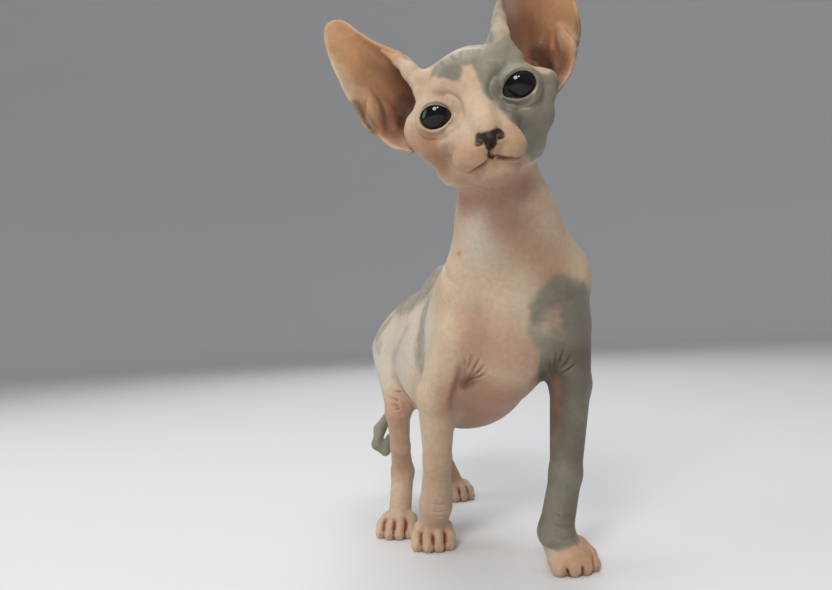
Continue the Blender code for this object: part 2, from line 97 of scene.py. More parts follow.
def smooth_line(points: Sequence[Point], per: int = 6) -> Array:
    """Lay a smooth line through a few points.

    Args:
        points: the points that the line passes through, in order.
        per: how many steps lie between two of them.
    Returns:
        The line's points, one row each.
    """
    p = np.asarray(points, float)
    if len(p) < 3:
        return p
    ends = np.vstack([2 * p[0] - p[1], p, 2 * p[-1] - p[-2]])
    rows = []
    for i in range(len(p) - 1):
        a, b, c, d = ends[i:i + 4]
        for t in np.linspace(0.0, 1.0, per, endpoint=False):
            rows.append(0.5 * (2 * b + (c - a) * t + (2 * a - 5 * b + 4 * c - d) * t * t
                               + (3 * b - a - 3 * c + d) * t ** 3))
    rows.append(p[-1])
    return np.array(rows)


def line_distance(p: Array, line: Array) -> tuple[Array, Array]:
    """Measure how far points lie from a bent line.

    Args:
        p: the points, one row each.
        line: the line's points, one row each.
    Returns:
        The distance of each point, and how far along the line its foot lies, 0 to 1.
    """
    best = np.full(len(p), FAR)
    along = np.zeros(len(p))
    if len(line) == 1:
        return np.linalg.norm(p - line[0], axis=1), along
    steps = np.linalg.norm(np.diff(line, axis=0), axis=1)
    run = np.concatenate([[0.0], np.cumsum(steps)])
    for i, step in enumerate(steps):
        a, ab = line[i], line[i + 1] - line[i]
        t = np.clip((p - a) @ ab / max(ab @ ab, TINY), 0.0, 1.0)
        d = np.linalg.norm(p - a - t[:, None] * ab, axis=1)
        near = d < best
        best[near] = d[near]
        along[near] = (run[i] + t[near] * step) / run[-1]
    return best, along


@dataclass(frozen=True)
class Bar:
    """A tapering round bar from a to b."""

    a: Point
    b: Point
    ra: float
    rb: float

    def extent(self) -> tuple[Array, Array]:
        """Give the lowest and highest corner of the bar's box."""
        ends, r = np.array((self.a, self.b)), max(self.ra, self.rb)
        return ends.min(0) - r, ends.max(0) + r

    def distance(self, p: Array) -> Array:
        """Measure how far points lie from the bar.

        Args:
            p: the points, one row each.
        Returns:
            The distance of each point, negative inside.
        """
        a, b = np.array(self.a, float), np.array(self.b, float)
        ab = b - a
        t = np.clip((p - a) @ ab / (ab @ ab), 0.0, 1.0)
        return np.linalg.norm(p - a - t[:, None] * ab, axis=1) - (self.ra + (self.rb - self.ra) * t)

    def add_to(self, bm: bmesh.types.BMesh, place: Matrix) -> None:
        """Add the bar to a mesh: a cone frustum with a ball at each end.

        Args:
            bm: the mesh that takes it.
            place: the transform from the bar's frame to the mesh's.
        """
        a, b = Vector(self.a), Vector(self.b)
        turn = (b - a).to_track_quat("Z", "Y").to_matrix().to_4x4()
        middle = place @ Matrix.Translation((a + b) / 2) @ turn
        bmesh.ops.create_cone(bm, cap_ends=True, segments=BAR_SIDES, radius1=self.ra,
                              radius2=self.rb, depth=(b - a).length, matrix=middle)
        for end, r in ((a, self.ra), (b, self.rb)):
            bmesh.ops.create_icosphere(bm, subdivisions=BALL_SPLITS, radius=r,
                                       matrix=place @ Matrix.Translation(end))


@dataclass(frozen=True)
class Lump:
    """An egg-shaped lump."""

    c: Point
    r: Point

    def extent(self) -> tuple[Array, Array]:
        """Give the lowest and highest corner of the lump's box."""
        return np.array(self.c) - self.r, np.array(self.c) + self.r

    def distance(self, p: Array) -> Array:
        """Measure how far points lie from the lump.

        Args:
            p: the points, one row each.
        Returns:
            The distance of each point, negative inside.
        """
        r = np.array(self.r, float)
        q = (p - np.array(self.c, float)) / r
        k = np.linalg.norm(q, axis=1)
        return k * (k - 1.0) / np.maximum(np.linalg.norm(q / r, axis=1), TINY)

    def add_to(self, bm: bmesh.types.BMesh, place: Matrix) -> None:
        """Add the lump to a mesh."""
        size = Matrix.Diagonal((*self.r, 1.0))
        bmesh.ops.create_icosphere(bm, subdivisions=LUMP_SPLITS, radius=1.0,
                                   matrix=place @ Matrix.Translation(self.c) @ size)


Shape = Bar | Lump


def melded(p: Array, shapes: Sequence[Shape], k: float, total: Array | None = None) -> Array:
    """Join shapes one after the other, each with a fillet of width k.

    Args:
        p: the points, one row each.
        shapes: the shapes, in the order of joining.
        k: the width of the fillets.
        total: distances that the shapes are joined to, or None.
    Returns:
        The distance of each point from the joined shapes.
    """
    total = np.full(len(p), FAR) if total is None else total.copy()
    margin = k + NEARBY
    for shape in shapes:
        low, high = shape.extent()
        near = ((p > low - margin) & (p < high + margin)).all(1)
        total[near] = blend(total[near], shape.distance(p[near]), k)
    return total


def chain(points: Sequence[Point], radii: Sequence[float]) -> list[Shape]:
    """Lay bars end to end along points, each point with its radius."""
    ends = list(zip(points, radii))
    return [Bar(a, b, ra, rb) for (a, ra), (b, rb) in zip(ends, ends[1:])]


# ---- the head -------------------------------------------------------------------------
@dataclass(frozen=True)
class HeadPose:
    """Where the head's own frame stands: x to its left, y back, z up, from between the eyes."""

    at: Point = (-35.8, -120.4, 200.5)
    yaw: float = -29.6
    pitch: float = 11.1
    roll: float = -13.4

    def matrix(self) -> Matrix:
        """Give the transform from the head's frame to the body's."""
        turn = (Matrix.Rotation(radians(self.yaw), 4, "Z")
                @ Matrix.Rotation(radians(self.pitch), 4, "X")
                @ Matrix.Rotation(radians(self.roll), 4, "Y"))
        return Matrix.Translation(self.at) @ turn

    def into_head(self, p: Array) -> Array:
        """Give body points in the head's frame."""
        return (p - np.array(self.at)) @ np.array(self.matrix().to_3x3())

    def into_body(self, p: Array) -> Array:
        """Give head points in the body's frame."""
        return p @ np.array(self.matrix().to_3x3()).T + np.array(self.at)


@dataclass(frozen=True)
class EyeSize:
    """One eye and the opening of its lids, in the head's frame."""

    side: int
    opening: tuple[float, float]
    at: Point
    radius: float = 8.4
    slant: float = 9.0
    turn: float = 9.0
    lid: float = 1.0
    socket_shift: tuple[float, float] = (-1.6, 0.3)
    socket_ahead: float = 0.95      # share of the eyeball's radius
    socket_over: Point = (4.2, 3.6, 6.4)
    corner: float = 0.12            # how much further the opening reaches at the nose
    gap_steps: int = 72

    def centre(self) -> Array:
        """Give the middle of the eyeball."""
        return np.array((self.at[0] * self.side, self.at[1], self.at[2]))

    def axes(self) -> Array:
        """Give the outward, upward and gaze directions, one row each.

        Returns:
            The three directions in the head's frame.
        """
        t, s = radians(self.turn), radians(self.slant)
        out = np.array((cos(t) * self.side, sin(t), 0.0))
        up = np.array((0.0, 0.0, 1.0))
        gaze = np.array((sin(t) * self.side, -cos(t), 0.0))
        return np.array((out * cos(s) + up * sin(s), up * cos(s) - out * sin(s), gaze))

    def into_eye(self, p: Array) -> Array:
        """Give head points as outward, upward and forward of the eyeball's middle."""
        return (p - self.centre()) @ self.axes().T

    def socket_distance(self, p: Array) -> Array:
        """Measure how far head points lie from the hollow that the lids sit in.

        Args:
            p: the points, one row each.
        Returns:
            The distance of each point, negative inside.
        """
        q = self.into_eye(p) - np.array((*self.socket_shift, self.radius * self.socket_ahead))
        (a, b), (aside, above, deep) = self.opening, self.socket_over
        return Lump((0, 0, 0), (a + aside, b + above, deep)).distance(q)

    def gap(self, place: Matrix) -> bpy.types.Object:
        """Build the solid that parts the lids, with a rounded flare at their edges.

        Args:
            place: the transform from the head's frame to the body's.
        Returns:
            The solid's object, in millimetres.
        """
        (a, b), lip, clear = self.opening, self.radius + self.lid, self.radius + self.lid + 7.0
        floor = self.radius - 0.5
        # each ring's share of the opening, how far it lies beyond, its height from the eye's middle
        rings = [(0.4, 0.0, floor), (0.75, 0.0, floor), (0.95, 0.0, floor), (1.0, 0.0, floor + 0.3),
                 (1.0, 0.0, lip - 0.55), (1.0, 0.06, lip - 0.3), (1.0, 0.22, lip - 0.1),
                 (1.0, 0.5, lip + 0.08), (1.0, 1.3, lip + 0.5), (1.0, 6.0, clear)]
        out, up, gaze = (Vector(row) for row in self.axes())
        bm = bmesh.new()
        bmesh.ops.create_grid(bm, x_segments=len(rings) - 1, y_segments=self.gap_steps, size=0.5)
        for v in bm.verts:
            share, beyond, level = rings[round((v.co.x + 0.5) * (len(rings) - 1))]
            angle = TURN * (v.co.y + 0.5)
            corner = 1.0 + self.corner * max(0.0, -cos(angle)) ** 6
            x = (a * corner * share + beyond) * cos(angle)
            y = (b * share + beyond) * sin(angle)
            z = max(level ** 2 - x * x - y * y, 9.0) ** 0.5      # never nearer than 3 mm
            v.co = place @ (Vector(self.centre()) + out * x + up * y + gaze * z)
        bmesh.ops.remove_doubles(bm, verts=bm.verts, dist=1e-4)
        bmesh.ops.holes_fill(bm, edges=[e for e in bm.edges if e.is_boundary], sides=0)
        bmesh.ops.recalc_face_normals(bm, faces=bm.faces)
        if bm.calc_volume(signed=True) < 0.0:
            bmesh.ops.reverse_faces(bm, faces=bm.faces)
        return object_from("gap", bm)


@dataclass(frozen=True)
class Head:
    """Skull, jaw, muzzle and lids."""

    pose: HeadPose = HeadPose()
    eyes: tuple[EyeSize, EyeSize] = (EyeSize(1, (6.2, 4.8), (16.6, 6.4, 0.2)),
                                     EyeSize(-1, (5.9, 4.5), (15.2, 6.4, -0.4)))
    skull: tuple[Shape, ...] = (
        Lump((0, 21, 3), (25, 25, 18.5)), Lump((0, 7, 8.5), (15, 10, 10)),
        Lump((0, 19, 9), (17, 17, 15.0)),
        Bar((5.5, 2, -5), (7, -7, -15.5), 5.2, 5.0), Bar((-4.5, 2, -5), (-6, -7, -15.5), 5.2, 5.0),
        Bar((9, 15, 13), (14, 17, 15.5), 6.0, 4.5), Bar((-9, 15, 13), (-16, 17, 16), 6.5, 5.0),
        Bar((10, 2, -11), (19.6, 12, -10.5), 6.6, 8.2),
        Bar((-10, 2, -11), (-20.0, 12, -8.5), 6.6, 8.0),
        Bar((0, 8, -10), (0.5, -6, -18), 12.0, 7.0),
        Bar((0, -2, -25.0), (14, 17, -19), 6.6, 8.0), Bar((0, -2, -25.0), (-15, 17, -19), 6.6, 8.6),
        Bar((15, 22, 5), (21, 28, 8), 8.5, 6.0), Bar((-15, 22, 5), (-21, 28, 8), 8.5, 6.0),
    )
    bridge: tuple[Shape, ...] = (Bar((0.6, 2, 3.5), (1.4, -13.0, -12.6), 6.2, 4.3),)
    pads: tuple[Shape, ...] = (
        Lump((7.6, -8.6, -20.3), (6.2, 6.0, 5.6)), Lump((-6.8, -8.6, -19.6), (7.4, 6.6, 6.0)),
    )
    chin: Lump = Lump((0.5, -4.6, -27.4), (9.0, 6.2, 5.0))
    nose: tuple[Shape, ...] = (
        Lump((1.5, -14.6, -16.6), (4.0, 3.6, 3.9)),
        Lump((4.9, -13.4, -16.8), (2.1, 2.8, 2.5)), Lump((-1.9, -13.4, -16.6), (2.1, 2.8, 2.5)),
    )
    left_rim: tuple[Point, ...] = ((9, 13, 15), (17, 12, 16), (19.2, 11, 12), (19.6, 11, 8),
                                   (22.4, 10.5, 4.8), (26, 10, 2.6), (28.8, 10, 0.4),
                                   (27.2, 11, -4.0), (23, 11.5, -9))
    right_rim: tuple[Point, ...] = ((-9, 13, 15), (-17, 12, 16), (-19.2, 11, 12), (-19.6, 11, 8),
                                    (-22.4, 10.5, 4.8), (-25.4, 10, 2.2), (-27.2, 10, -1.0),
                                    (-26.8, 10.6, -4.6), (-23, 11.5, -9))
    rim_r: tuple[float, ...] = (4.0, 3.2, 2.5, 2.3, 2.6, 2.6, 2.7, 3.0, 3.8)
    crests: tuple[Shape, ...] = (
        *chain(((14.5, 12.5, 17), (16.4, 13.5, 23), (18.0, 15.8, 29), (20.6, 18.8, 37)),
               (4.2, 3.3, 2.2, 0.8)),
        *chain(((-19, 12.5, 17), (-21.2, 13.5, 22), (-24.5, 16, 28), (-30, 19.5, 35)),
               (4.0, 3.0, 1.9, 0.8)),
    )
    canal: Lump = Lump((25.5, 19, 8.5), (5.5, 10.0, 7.5))
    skull_fillet: float = 5.0
    bridge_fillet: float = 4.0
    pad_fillet: float = 3.4
    chin_fillet: float = 2.4
    nose_fillet: float = 1.5
    socket_fillet: float = 3.2
    lid_fillet: float = 2.0
    rim_fillet: float = 2.6
    canal_fillet: float = 2.0

    def lids(self) -> list[Shape]:
        """Give the shells of skin that lie over the eyeballs."""
        return [Lump(tuple(e.centre()), (e.radius + e.lid,) * 3) for e in self.eyes]

    def rims(self) -> list[Shape]:
        """Give the folds of skin in front of both ears."""
        return [*self.crests, *chain(self.left_rim, self.rim_r), *chain(self.right_rim, self.rim_r)]

    def distance(self, p: Array) -> Array:
        """Measure how far body points lie from the head with its lids shut.

        Args:
            p: the points, one row each.
        Returns:
            The distance of each point, negative inside.
        """
        q = self.pose.into_head(p)
        total = melded(q, self.skull, self.skull_fillet)
        total = melded(q, self.bridge, self.bridge_fillet, total)
        for eye in self.eyes:
            total = carve(total, eye.socket_distance(q), self.socket_fillet)
        total = melded(q, self.lids(), self.lid_fillet, total)
        total = melded(q, self.pads, self.pad_fillet, total)
        total = melded(q, [self.chin], self.chin_fillet, total)
        return melded(q, self.nose, self.nose_fillet, total)

    def with_ears(self, p: Array, total: Array) -> Array:
        """Raise the folds in front of the ears and hollow the canals behind them.

        Args:
            p: body points, one row each.
            total: their distances from the flesh without them.
        Returns:
            Their distances from the flesh with them.
        """
        q = self.pose.into_head(p)
        total = melded(q, self.rims(), self.rim_fillet, total)
        x, y, z = self.canal.c
        for side in (1, -1):
            canal = Lump((x * side, y, z), self.canal.r)
            total = carve(total, canal.distance(q), self.canal_fillet)
        return total

    def shapes(self) -> list[Shape]:
        """Give every shape of the head, in its own frame."""
        return [*self.skull, *self.bridge, *self.lids(), *self.pads, self.chin, *self.nose,
                *self.rims()]


@dataclass(frozen=True)
class Ear:
    """A cupped leaf of skin between an inner and an outer edge, in the head's frame."""

    side: int
    inner: tuple[Point, ...]
    outer: tuple[Point, ...]
    depth: tuple[float, ...] = (14.0, 17.5, 15.5, 12.5, 9.5, 7.0, 4.5, 2.0, 0.6)
    back: Point = (-0.22, 0.96, 0.05)
    open_root: float = 88.0
    open_tip: float = 45.0
    wall: float = 1.6
    across: int = 40
    along: int = 60

    def edge(self, points: Sequence[Point]) -> Array:
        """Give an edge of the leaf as evenly spaced points, one for each row.

        Args:
            points: the edge's points, from the root to the tip.
        Returns:
            The evenly spaced points.
        """
        line = smooth_line(points, per=8)
        run = np.concatenate([[0.0], np.cumsum(np.linalg.norm(np.diff(line, axis=0), axis=1))])
        wanted = np.linspace(0.0, run[-1], self.along + 1)
        return np.stack([np.interp(wanted, run, axis) for axis in line.T], 1)

    def leaf(self, place: Matrix) -> bpy.types.Object:
        """Build the leaf as a closed shell of the wall's thickness.

        Args:
            place: the transform from the head's frame to the body's.
        Returns:
            An object holding the shell, in millimetres.
        """
        inner, outer = self.edge(self.inner), self.edge(self.outer)
        back = Vector(self.back).normalized()
        levels = np.linspace(0.0, 1.0, len(self.depth))
        bm = bmesh.new()
        bmesh.ops.create_grid(bm, x_segments=self.across, y_segments=self.along, size=1.0)
        for v in bm.verts:
            t = (v.co.y + 1.0) / 2.0
            row = round(t * self.along)
            spread = radians(self.open_root * (1 - t) + self.open_tip * t)
            share = 0.5 + 0.5 * sin(v.co.x * spread) / sin(spread)
            hollow = (cos(v.co.x * spread) - cos(spread)) / (1 - cos(spread))
            point = Vector(inner[row]).lerp(Vector(outer[row]), share)
            point += back * (hollow * float(np.interp(t, levels, self.depth)))
            v.co = place @ Vector((point.x * self.side, point.y, point.z))
        bmesh.ops.remove_doubles(bm, verts=bm.verts, dist=0.02)
        obj = object_from(f"leaf_{self.side}", bm)
        wall = obj.modifiers.new("wall", "SOLIDIFY")
        wall.thickness, wall.offset = self.wall, 0.0
        return applied(obj)


# the edges of the ears from root to tip, x outwards on either side
RIGHT_INNER = ((12.5, 13, 18.5), (18.2, 13, 22), (19.6, 14, 25.3), (22.5, 15.5, 30),
               (27.1, 17, 34.4), (32.2, 18.5, 39.3), (37.4, 20.5, 46), (40.2, 21.5, 50.5),
               (43.2, 22.5, 53.6), (46.6, 23, 54.6))
RIGHT_OUTER = ((30, 10, -9), (33, 10, -6.6), (36.3, 10.5, -4.8), (38.4, 11.5, -2.4),
               (40.2, 12.5, 0.2), (42.4, 13.5, 3.6), (45, 14.5, 6), (46.8, 15.5, 9.6),
               (47, 16.5, 13.5), (48.2, 17, 17.5),
               (49.6, 18, 21.5), (50.5, 18.6, 26), (51.3, 19.2, 31), (52.2, 20, 37), (52.6, 21, 44),
               (52, 22, 50.4), (50.2, 22.7, 53.7), (46.6, 23, 54.6))
LEFT_INNER = ((8, 13, 18.5), (9.9, 13, 21.4), (12, 14, 23.4), (13.7, 15, 26), (15.2, 16, 29.3),
              (17, 17, 32.6), (20.2, 18.5, 38), (25, 20, 45), (29, 21.5, 51.5), (33, 22.5, 56.3),
              (38, 23.5, 58.4))
LEFT_OUTER = ((27.8, 10.5, -9), (31, 10.5, -5.4), (34.6, 11, -2.4), (38, 12, 0.4), (39.5, 13, 4.2),
              (40.9, 14, 7.4), (43.2, 15, 9.4), (44.6, 15.8, 11.4), (45.8, 16.4, 14.5),
              (46.6, 17, 18),
              (47, 17.5, 22), (47.3, 18, 27), (47.6, 19, 33), (47.4, 20, 40), (46.2, 21.5, 48.5),
              (44.2, 22.5, 54.5), (41.6, 23.2, 57.8), (38, 23.5, 58.4))
POUCH_ROOT = ((41.5, 26, 23), (39.5, 26.5, 16), (39, 25, 10), (39, 22, 5), (39.5, 16, 1))
POUCH_EDGE = ((42.2, 25, 23), (43.2, 19, 17), (44.4, 15, 12.5), (44.2, 13.4, 8.4), (42, 13, 4.2))


def four_leaves() -> tuple[Ear, ...]:
    """Give both ears, each with the small pouch at its outer edge.

    Returns:
        The leaves of the left and right ear, then those of their pouches.
    """
    pouch = {"depth": (1.0, 2.5, 3.0, 2.5, 1.0), "back": (-0.5, -0.7, 0.0), "open_root": 60.0,
             "open_tip": 60.0, "across": 16, "along": 24}
    return (Ear(1, LEFT_INNER, LEFT_OUTER), Ear(-1, RIGHT_INNER, RIGHT_OUTER),
            Ear(1, *(tuple((x - 1.6, y, z - 1) for x, y, z in edge)
                     for edge in (POUCH_ROOT, POUCH_EDGE)), **pouch),
            Ear(-1, POUCH_ROOT, POUCH_EDGE, **pouch))


# ---- the body -------------------------------------------------------------------------
@dataclass(frozen=True)
class Core:
    """Trunk, spine and neck."""

    masses: tuple[Shape, ...] = (
        Lump((2, -52, 116), (27.5, 28, 35.5)), Lump((2, -20, 107.5), (32, 44, 38)),
        Lump((4, -3, 94.5), (33.5, 39, 32.5)), Lump((1, 34, 108), (24, 36, 26)),
        Lump((1, 52, 107), (23.5, 24, 23)), Lump((24, -68, 130), (16.5, 19, 23)),
        Lump((-14, -49, 121), (11, 18, 24)), Lump((17, 44, 92), (14, 25, 24)),
        Lump((-14, 42, 92), (11, 24, 23)),
    )
    spine: tuple[Point, ...] = ((4, -50, 139), (1, -4, 138), (-1, 34, 123), (-4, 64, 114))
    spine_r: tuple[float, ...] = (13.0, 12.5, 13.0, 11.5)
    neck: tuple[Point, ...] = ((5, -68, 141), (-6, -84.5, 162), (-15, -93.5, 186))
    neck_r: tuple[float, ...] = (23.5, 18.2, 17.0)
    throat: tuple[Shape, ...] = (Bar((-2, -92, 168), (20, -78, 140), 8.0, 14.0),
                                 Bar((-15, -78, 166), (-15, -60, 135), 8.0, 10.5))
    mass_fillet: float = 15.0
    chain_fillet: float = 8.0
    spine_fillet: float = 12.0
    neck_fillet: float = 16.0
    throat_fillet: float = 12.0

    def distance(self, p: Array) -> Array:
        """Measure how far points lie from the core of the body.

        Args:
            p: the points, one row each.
        Returns:
            The distance of each point, negative inside.
        """
        core = melded(p, self.masses, self.mass_fillet)
        for points, radii, k in ((self.spine, self.spine_r, self.spine_fillet),
                                 (self.neck, self.neck_r, self.neck_fillet)):
            core = blend(core, melded(p, chain(points, radii), self.chain_fillet), k)
        return melded(p, self.throat, self.throat_fillet, core)

    def shapes(self) -> list[Shape]:
        """Give every shape of the core."""
        return [*self.masses, *chain(self.spine, self.spine_r), *chain(self.neck, self.neck_r)]


@dataclass(frozen=True)
class Paw:
    """A paw with four toes, placed by the middle of its toes' front on the floor."""

    x: float
    y: float
    heading: float
    width: float
    length: float
    height: float
    claw: float = 4.6
    cleft: float = 1.0
    toe_share: float = 5.9          # the paw's width, in radii of a toe
    outer_back: float = 2.6         # how far the outer toes stand back
    fan: tuple[float, float] = (1.3, 1.5)       # spacing at the knuckles and tips, in radii
    heel: float = 0.62              # the sole's middle, as a share of the length
    top: float = 0.72               # the knuckles, as a share of the height
    sole_size: Point = (0.41, 0.40, 0.5)        # shares of the width, length and height

    def frame(self) -> tuple[Array, Array, Array]:
        """Give the front's place, the way ahead and the way to the paw's left."""
        ahead = np.array((sin(radians(self.heading)), -cos(radians(self.heading)), 0.0))
        return np.array((self.x, self.y, 0.0)), ahead, np.array((-ahead[1], ahead[0], 0.0))

    def toes(self) -> list[tuple[Array, Array, Array, float]]:
        """Work out where the toes lie.

        Returns:
            Knuckle, middle joint, tip and radius of the four toes, from one side to the other.
        """
        front, ahead, side = self.frame()
        up = np.array((0.0, 0.0, 1.0))
        r, (close, wide) = self.width / self.toe_share, self.fan
        found = []
        for place in (-1.5, -0.5, 0.5, 1.5):
            back = r + (self.outer_back if abs(place) > 1 else 0.0)
            tip = front - ahead * back + side * place * r * wide + up * r * 0.98
            middle = tip - ahead * r * 0.9 + up * r * 0.9 - side * place * 0.1
            knuckle = front - ahead * (back + self.length * 0.36) + side * place * r * close
            found.append((knuckle + up * self.height * self.top, middle, tip, r))
        return found

    def sole(self) -> Lump:
        """Give the lump that the toes grow from.

        Returns:
            The lump.
        """
        front, ahead, _ = self.frame()
        back = front - ahead * self.length * self.heel
        wide, long, high = self.sole_size
        size = (self.width * wide, self.length * long, self.height * high)
        return Lump((back[0], back[1], self.height * 0.48), size)

    def instep(self) -> Point:
        """Give the point where the leg comes down on the paw.

        Returns:
            The point.
        """
        front, ahead, _ = self.frame()
        x, y, _ = front - ahead * self.length * self.heel
        return (x, y, self.height * self.top)

    def toe_shapes(self) -> list[Shape]:
        """Give the bars of the four toes."""
        return [bar for knuckle, middle, tip, r in self.toes()
                for bar in chain((tuple(knuckle), tuple(middle), tuple(tip)),
                                 (r * 0.92, r * 1.0, r * 0.96))]


@dataclass(frozen=True)
class Leg:
    """A leg and its paw."""

    paw: Paw
    joints: tuple[Point, ...]
    radii: tuple[float, ...]
    extras: tuple[Shape, ...] = ()
    limb_fillet: float = 3.0
    sole_fillet: float = 2.2
    extra_fillet: float = 2.5
    toe_fillet: float = 1.0
    paw_fillet: float = 2.6

    def bars(self) -> list[Shape]:
        """Give the bars of the leg, down to the instep."""
        return chain([*self.joints, self.paw.instep()], self.radii)

    def distance(self, p: Array) -> Array:
        """Measure how far points lie from the leg and its paw.

        Args:
            p: the points, one row each.
        Returns:
            The distance of each point, negative inside.
        """
        limb = melded(p, self.bars(), self.limb_fillet)
        limb = melded(p, [self.paw.sole()], self.sole_fillet, limb)
        limb = melded(p, self.extras, self.extra_fillet, limb)
        toes = melded(p, self.paw.toe_shapes(), self.toe_fillet)
        return blend(limb, toes, self.paw_fillet)

    def shapes(self) -> list[Shape]:
        """Give every shape of the leg."""
        return [*self.bars(), self.paw.sole(), *self.extras, *self.paw.toe_shapes()]


# the radii of the legs, from the shoulder or hip down to the instep
FORE_LEFT_R = (12.8, 9.7, 7.4, 8.0, 7.6)
FORE_RIGHT_R = (12.0, 9.8, 7.0, 8.2, 7.6)
HIND_R = (16.5, 7.0, 5.5, 6.6, 6.4)


def four_legs() -> dict[str, Leg]:
    """Give the four legs by name.

    Returns:
        The legs; the left forepaw has a blunt mound over its toes.
    """
    return {
        "fore_left": Leg(Paw(25.8, -78.4, -5, 22.5, 25, 14.5, cleft=0.65),
                         ((26, -74, 114), (33.8, -65, 87), (27.5, -66, 45), (21.4, -64, 18)),
                         FORE_LEFT_R, (Lump((25.8, -70.4, 7.4), (9.8, 7.2, 6.4)),)),
        "fore_right": Leg(Paw(-23, -17, -22, 21.5, 25, 14.0),
                          ((-18, -60, 112), (-25, -38, 84), (-21, -24, 50), (-18, -10.5, 24)),
                          FORE_RIGHT_R),
        "hind_left": Leg(Paw(29.5, 67, -10, 20.5, 27, 12.5),
                         ((14, 52, 104), (21, 40, 70), (20, 66, 51), (19.5, 86, 39)), HIND_R),
        "hind_right": Leg(Paw(-35.2, 12.8, -32, 21.5, 27, 12.5),
                          ((-13.5, 50, 104), (-25, 25, 70), (-21.5, 34.5, 48), (-17.5, 44.5, 31)),
                          HIND_R),
    }


@dataclass(frozen=True)
class Tail:
    """The thin tail, hooked round at its end."""

    points: tuple[Point, ...] = ((-3, 74, 110), (-1, 92, 99), (2.5, 103, 80), (-2, 106, 61),
                                 (-14, 102, 49), (-17.5, 98, 39.5), (-12.5, 96, 35), (-9, 96, 44))
    radii: tuple[float, ...] = (7.0, 5.2, 4.5, 4.0, 3.7, 3.3, 2.9, 2.2)

    def shapes(self) -> list[Shape]:
        """Give the bars of the tail."""
        return chain(self.points, self.radii)


@dataclass(frozen=True)
class Flesh:
    """The whole kitten under its skin."""

    core: Core = Core()
    head: Head = Head()
    tail: Tail = Tail()
    legs: dict[str, Leg] = field(default_factory=four_legs)
    ears: tuple[Ear, ...] = field(default_factory=four_leaves)
    head_fillet: float = 7.0
    leg_fillet: float = 7.0
    tail_fillet: float = 8.0
    tail_bend: float = 3.0          # the fillet between two bars of the tail
    legs_below: float = 150.0

    def distance(self, p: Array) -> Array:
        """Measure how far body points lie from the skin.

        Args:
            p: the points, one row each.
        Returns:
            The distance of each point, negative inside.
        """
        core = blend(self.core.distance(p), self.head.distance(p), self.head_fillet)
        core = self.head.with_ears(p, core)
        total = core.copy()
        low = p[:, 2] < self.legs_below
        for leg in self.legs.values():
            limb = blend(core[low], leg.distance(p[low]), self.leg_fillet)
            total[low] = np.minimum(total[low], limb)
        tail = melded(p, self.tail.shapes(), self.tail_bend)
        return np.minimum(total, blend(core, tail, self.tail_fillet))

    def add_to(self, bm: bmesh.types.BMesh) -> None:
        """Add every shape and both ears to a mesh.

        Args:
            bm: the mesh that takes them, in millimetres.
        """
        head = self.head.pose.matrix()
        body = [*self.core.shapes(), *self.tail.shapes()]
        for leg in self.legs.values():
            body += leg.shapes()
        for shape in body:
            shape.add_to(bm, Matrix.Identity(4))
        for shape in self.head.shapes():
            shape.add_to(bm, head)
        for ear in self.ears:
            leaf = ear.leaf(head)
            bm.from_mesh(leaf.data)
            bpy.data.objects.remove(leaf, do_unlink=True)


# ---- Blender helpers ------------------------------------------------------------------
def object_from(name: str, bm: bmesh.types.BMesh) -> bpy.types.Object:
    """Make an object of a bmesh.

    Args:
        name: the object's name.
        bm: its mesh, which is freed.
    Returns:
        The object, in the scene.
    """
    mesh = bpy.data.meshes.new(name)
    bm.to_mesh(mesh)
    bm.free()
    obj = bpy.data.objects.new(name, mesh)
    bpy.context.scene.collection.objects.link(obj)
    return obj


def applied(obj: bpy.types.Object) -> bpy.types.Object:
    """Put what the object's modifiers make in place of its mesh.

    Args:
        obj: the object.
    Returns:
        The same object, with a new mesh and no modifiers.
    """
    bpy.context.view_layer.update()
    graph = bpy.context.evaluated_depsgraph_get()
    mesh = bpy.data.meshes.new_from_object(obj.evaluated_get(graph))
    obj.modifiers.clear()
    old, obj.data = obj.data, mesh
    bpy.data.meshes.remove(old)
    mesh.name = obj.name
    return obj


def points_of(mesh: bpy.types.Mesh, what: str = "co") -> Array:
    """Read the places of a mesh's points, or another triple that they hold.

    Args:
        mesh: the mesh.
        what: the name of the triple, such as normal.
    Returns:
        One row for each point.
    """
    flat = np.empty(len(mesh.vertices) * 3)
    mesh.vertices.foreach_get(what, flat)
    return flat.reshape(-1, 3)


def move_points(mesh: bpy.types.Mesh, p: Array) -> None:
    """Move a mesh's points to new places."""
    mesh.vertices.foreach_set("co", np.ascontiguousarray(p).ravel())
    mesh.update()


def into_frame() -> Matrix:
    """Give the transform from the skeleton's millimetres to the frame's metres."""
    return Matrix.Scale(MM, 4) @ Matrix.Translation(-Vector(MIDDLE))


def relax(mesh: bpy.types.Mesh, weight: Array, steps: int) -> None:
    """Ease points halfway to the mean of their neighbours.

    Args:
        mesh: the mesh to smooth.
        weight: how much each point takes part, 0 to 1.
        steps: how often it is done.
    """
    ends = np.empty(len(mesh.edges) * 2, np.int32)
    mesh.edges.foreach_get("vertices", ends)
    a, b = ends.reshape(-1, 2).T
    count = np.bincount(ends, minlength=len(mesh.vertices))
    p = points_of(mesh)
    for _ in range(steps):
        mean = np.empty_like(p)
        for i in range(3):
            mean[:, i] = np.bincount(a, p[b, i], len(p)) + np.bincount(b, p[a, i], len(p))
        mean /= np.maximum(count, 1)[:, None]
        p = p + (mean - p) * (0.5 * weight)[:, None]
    move_points(mesh, p)


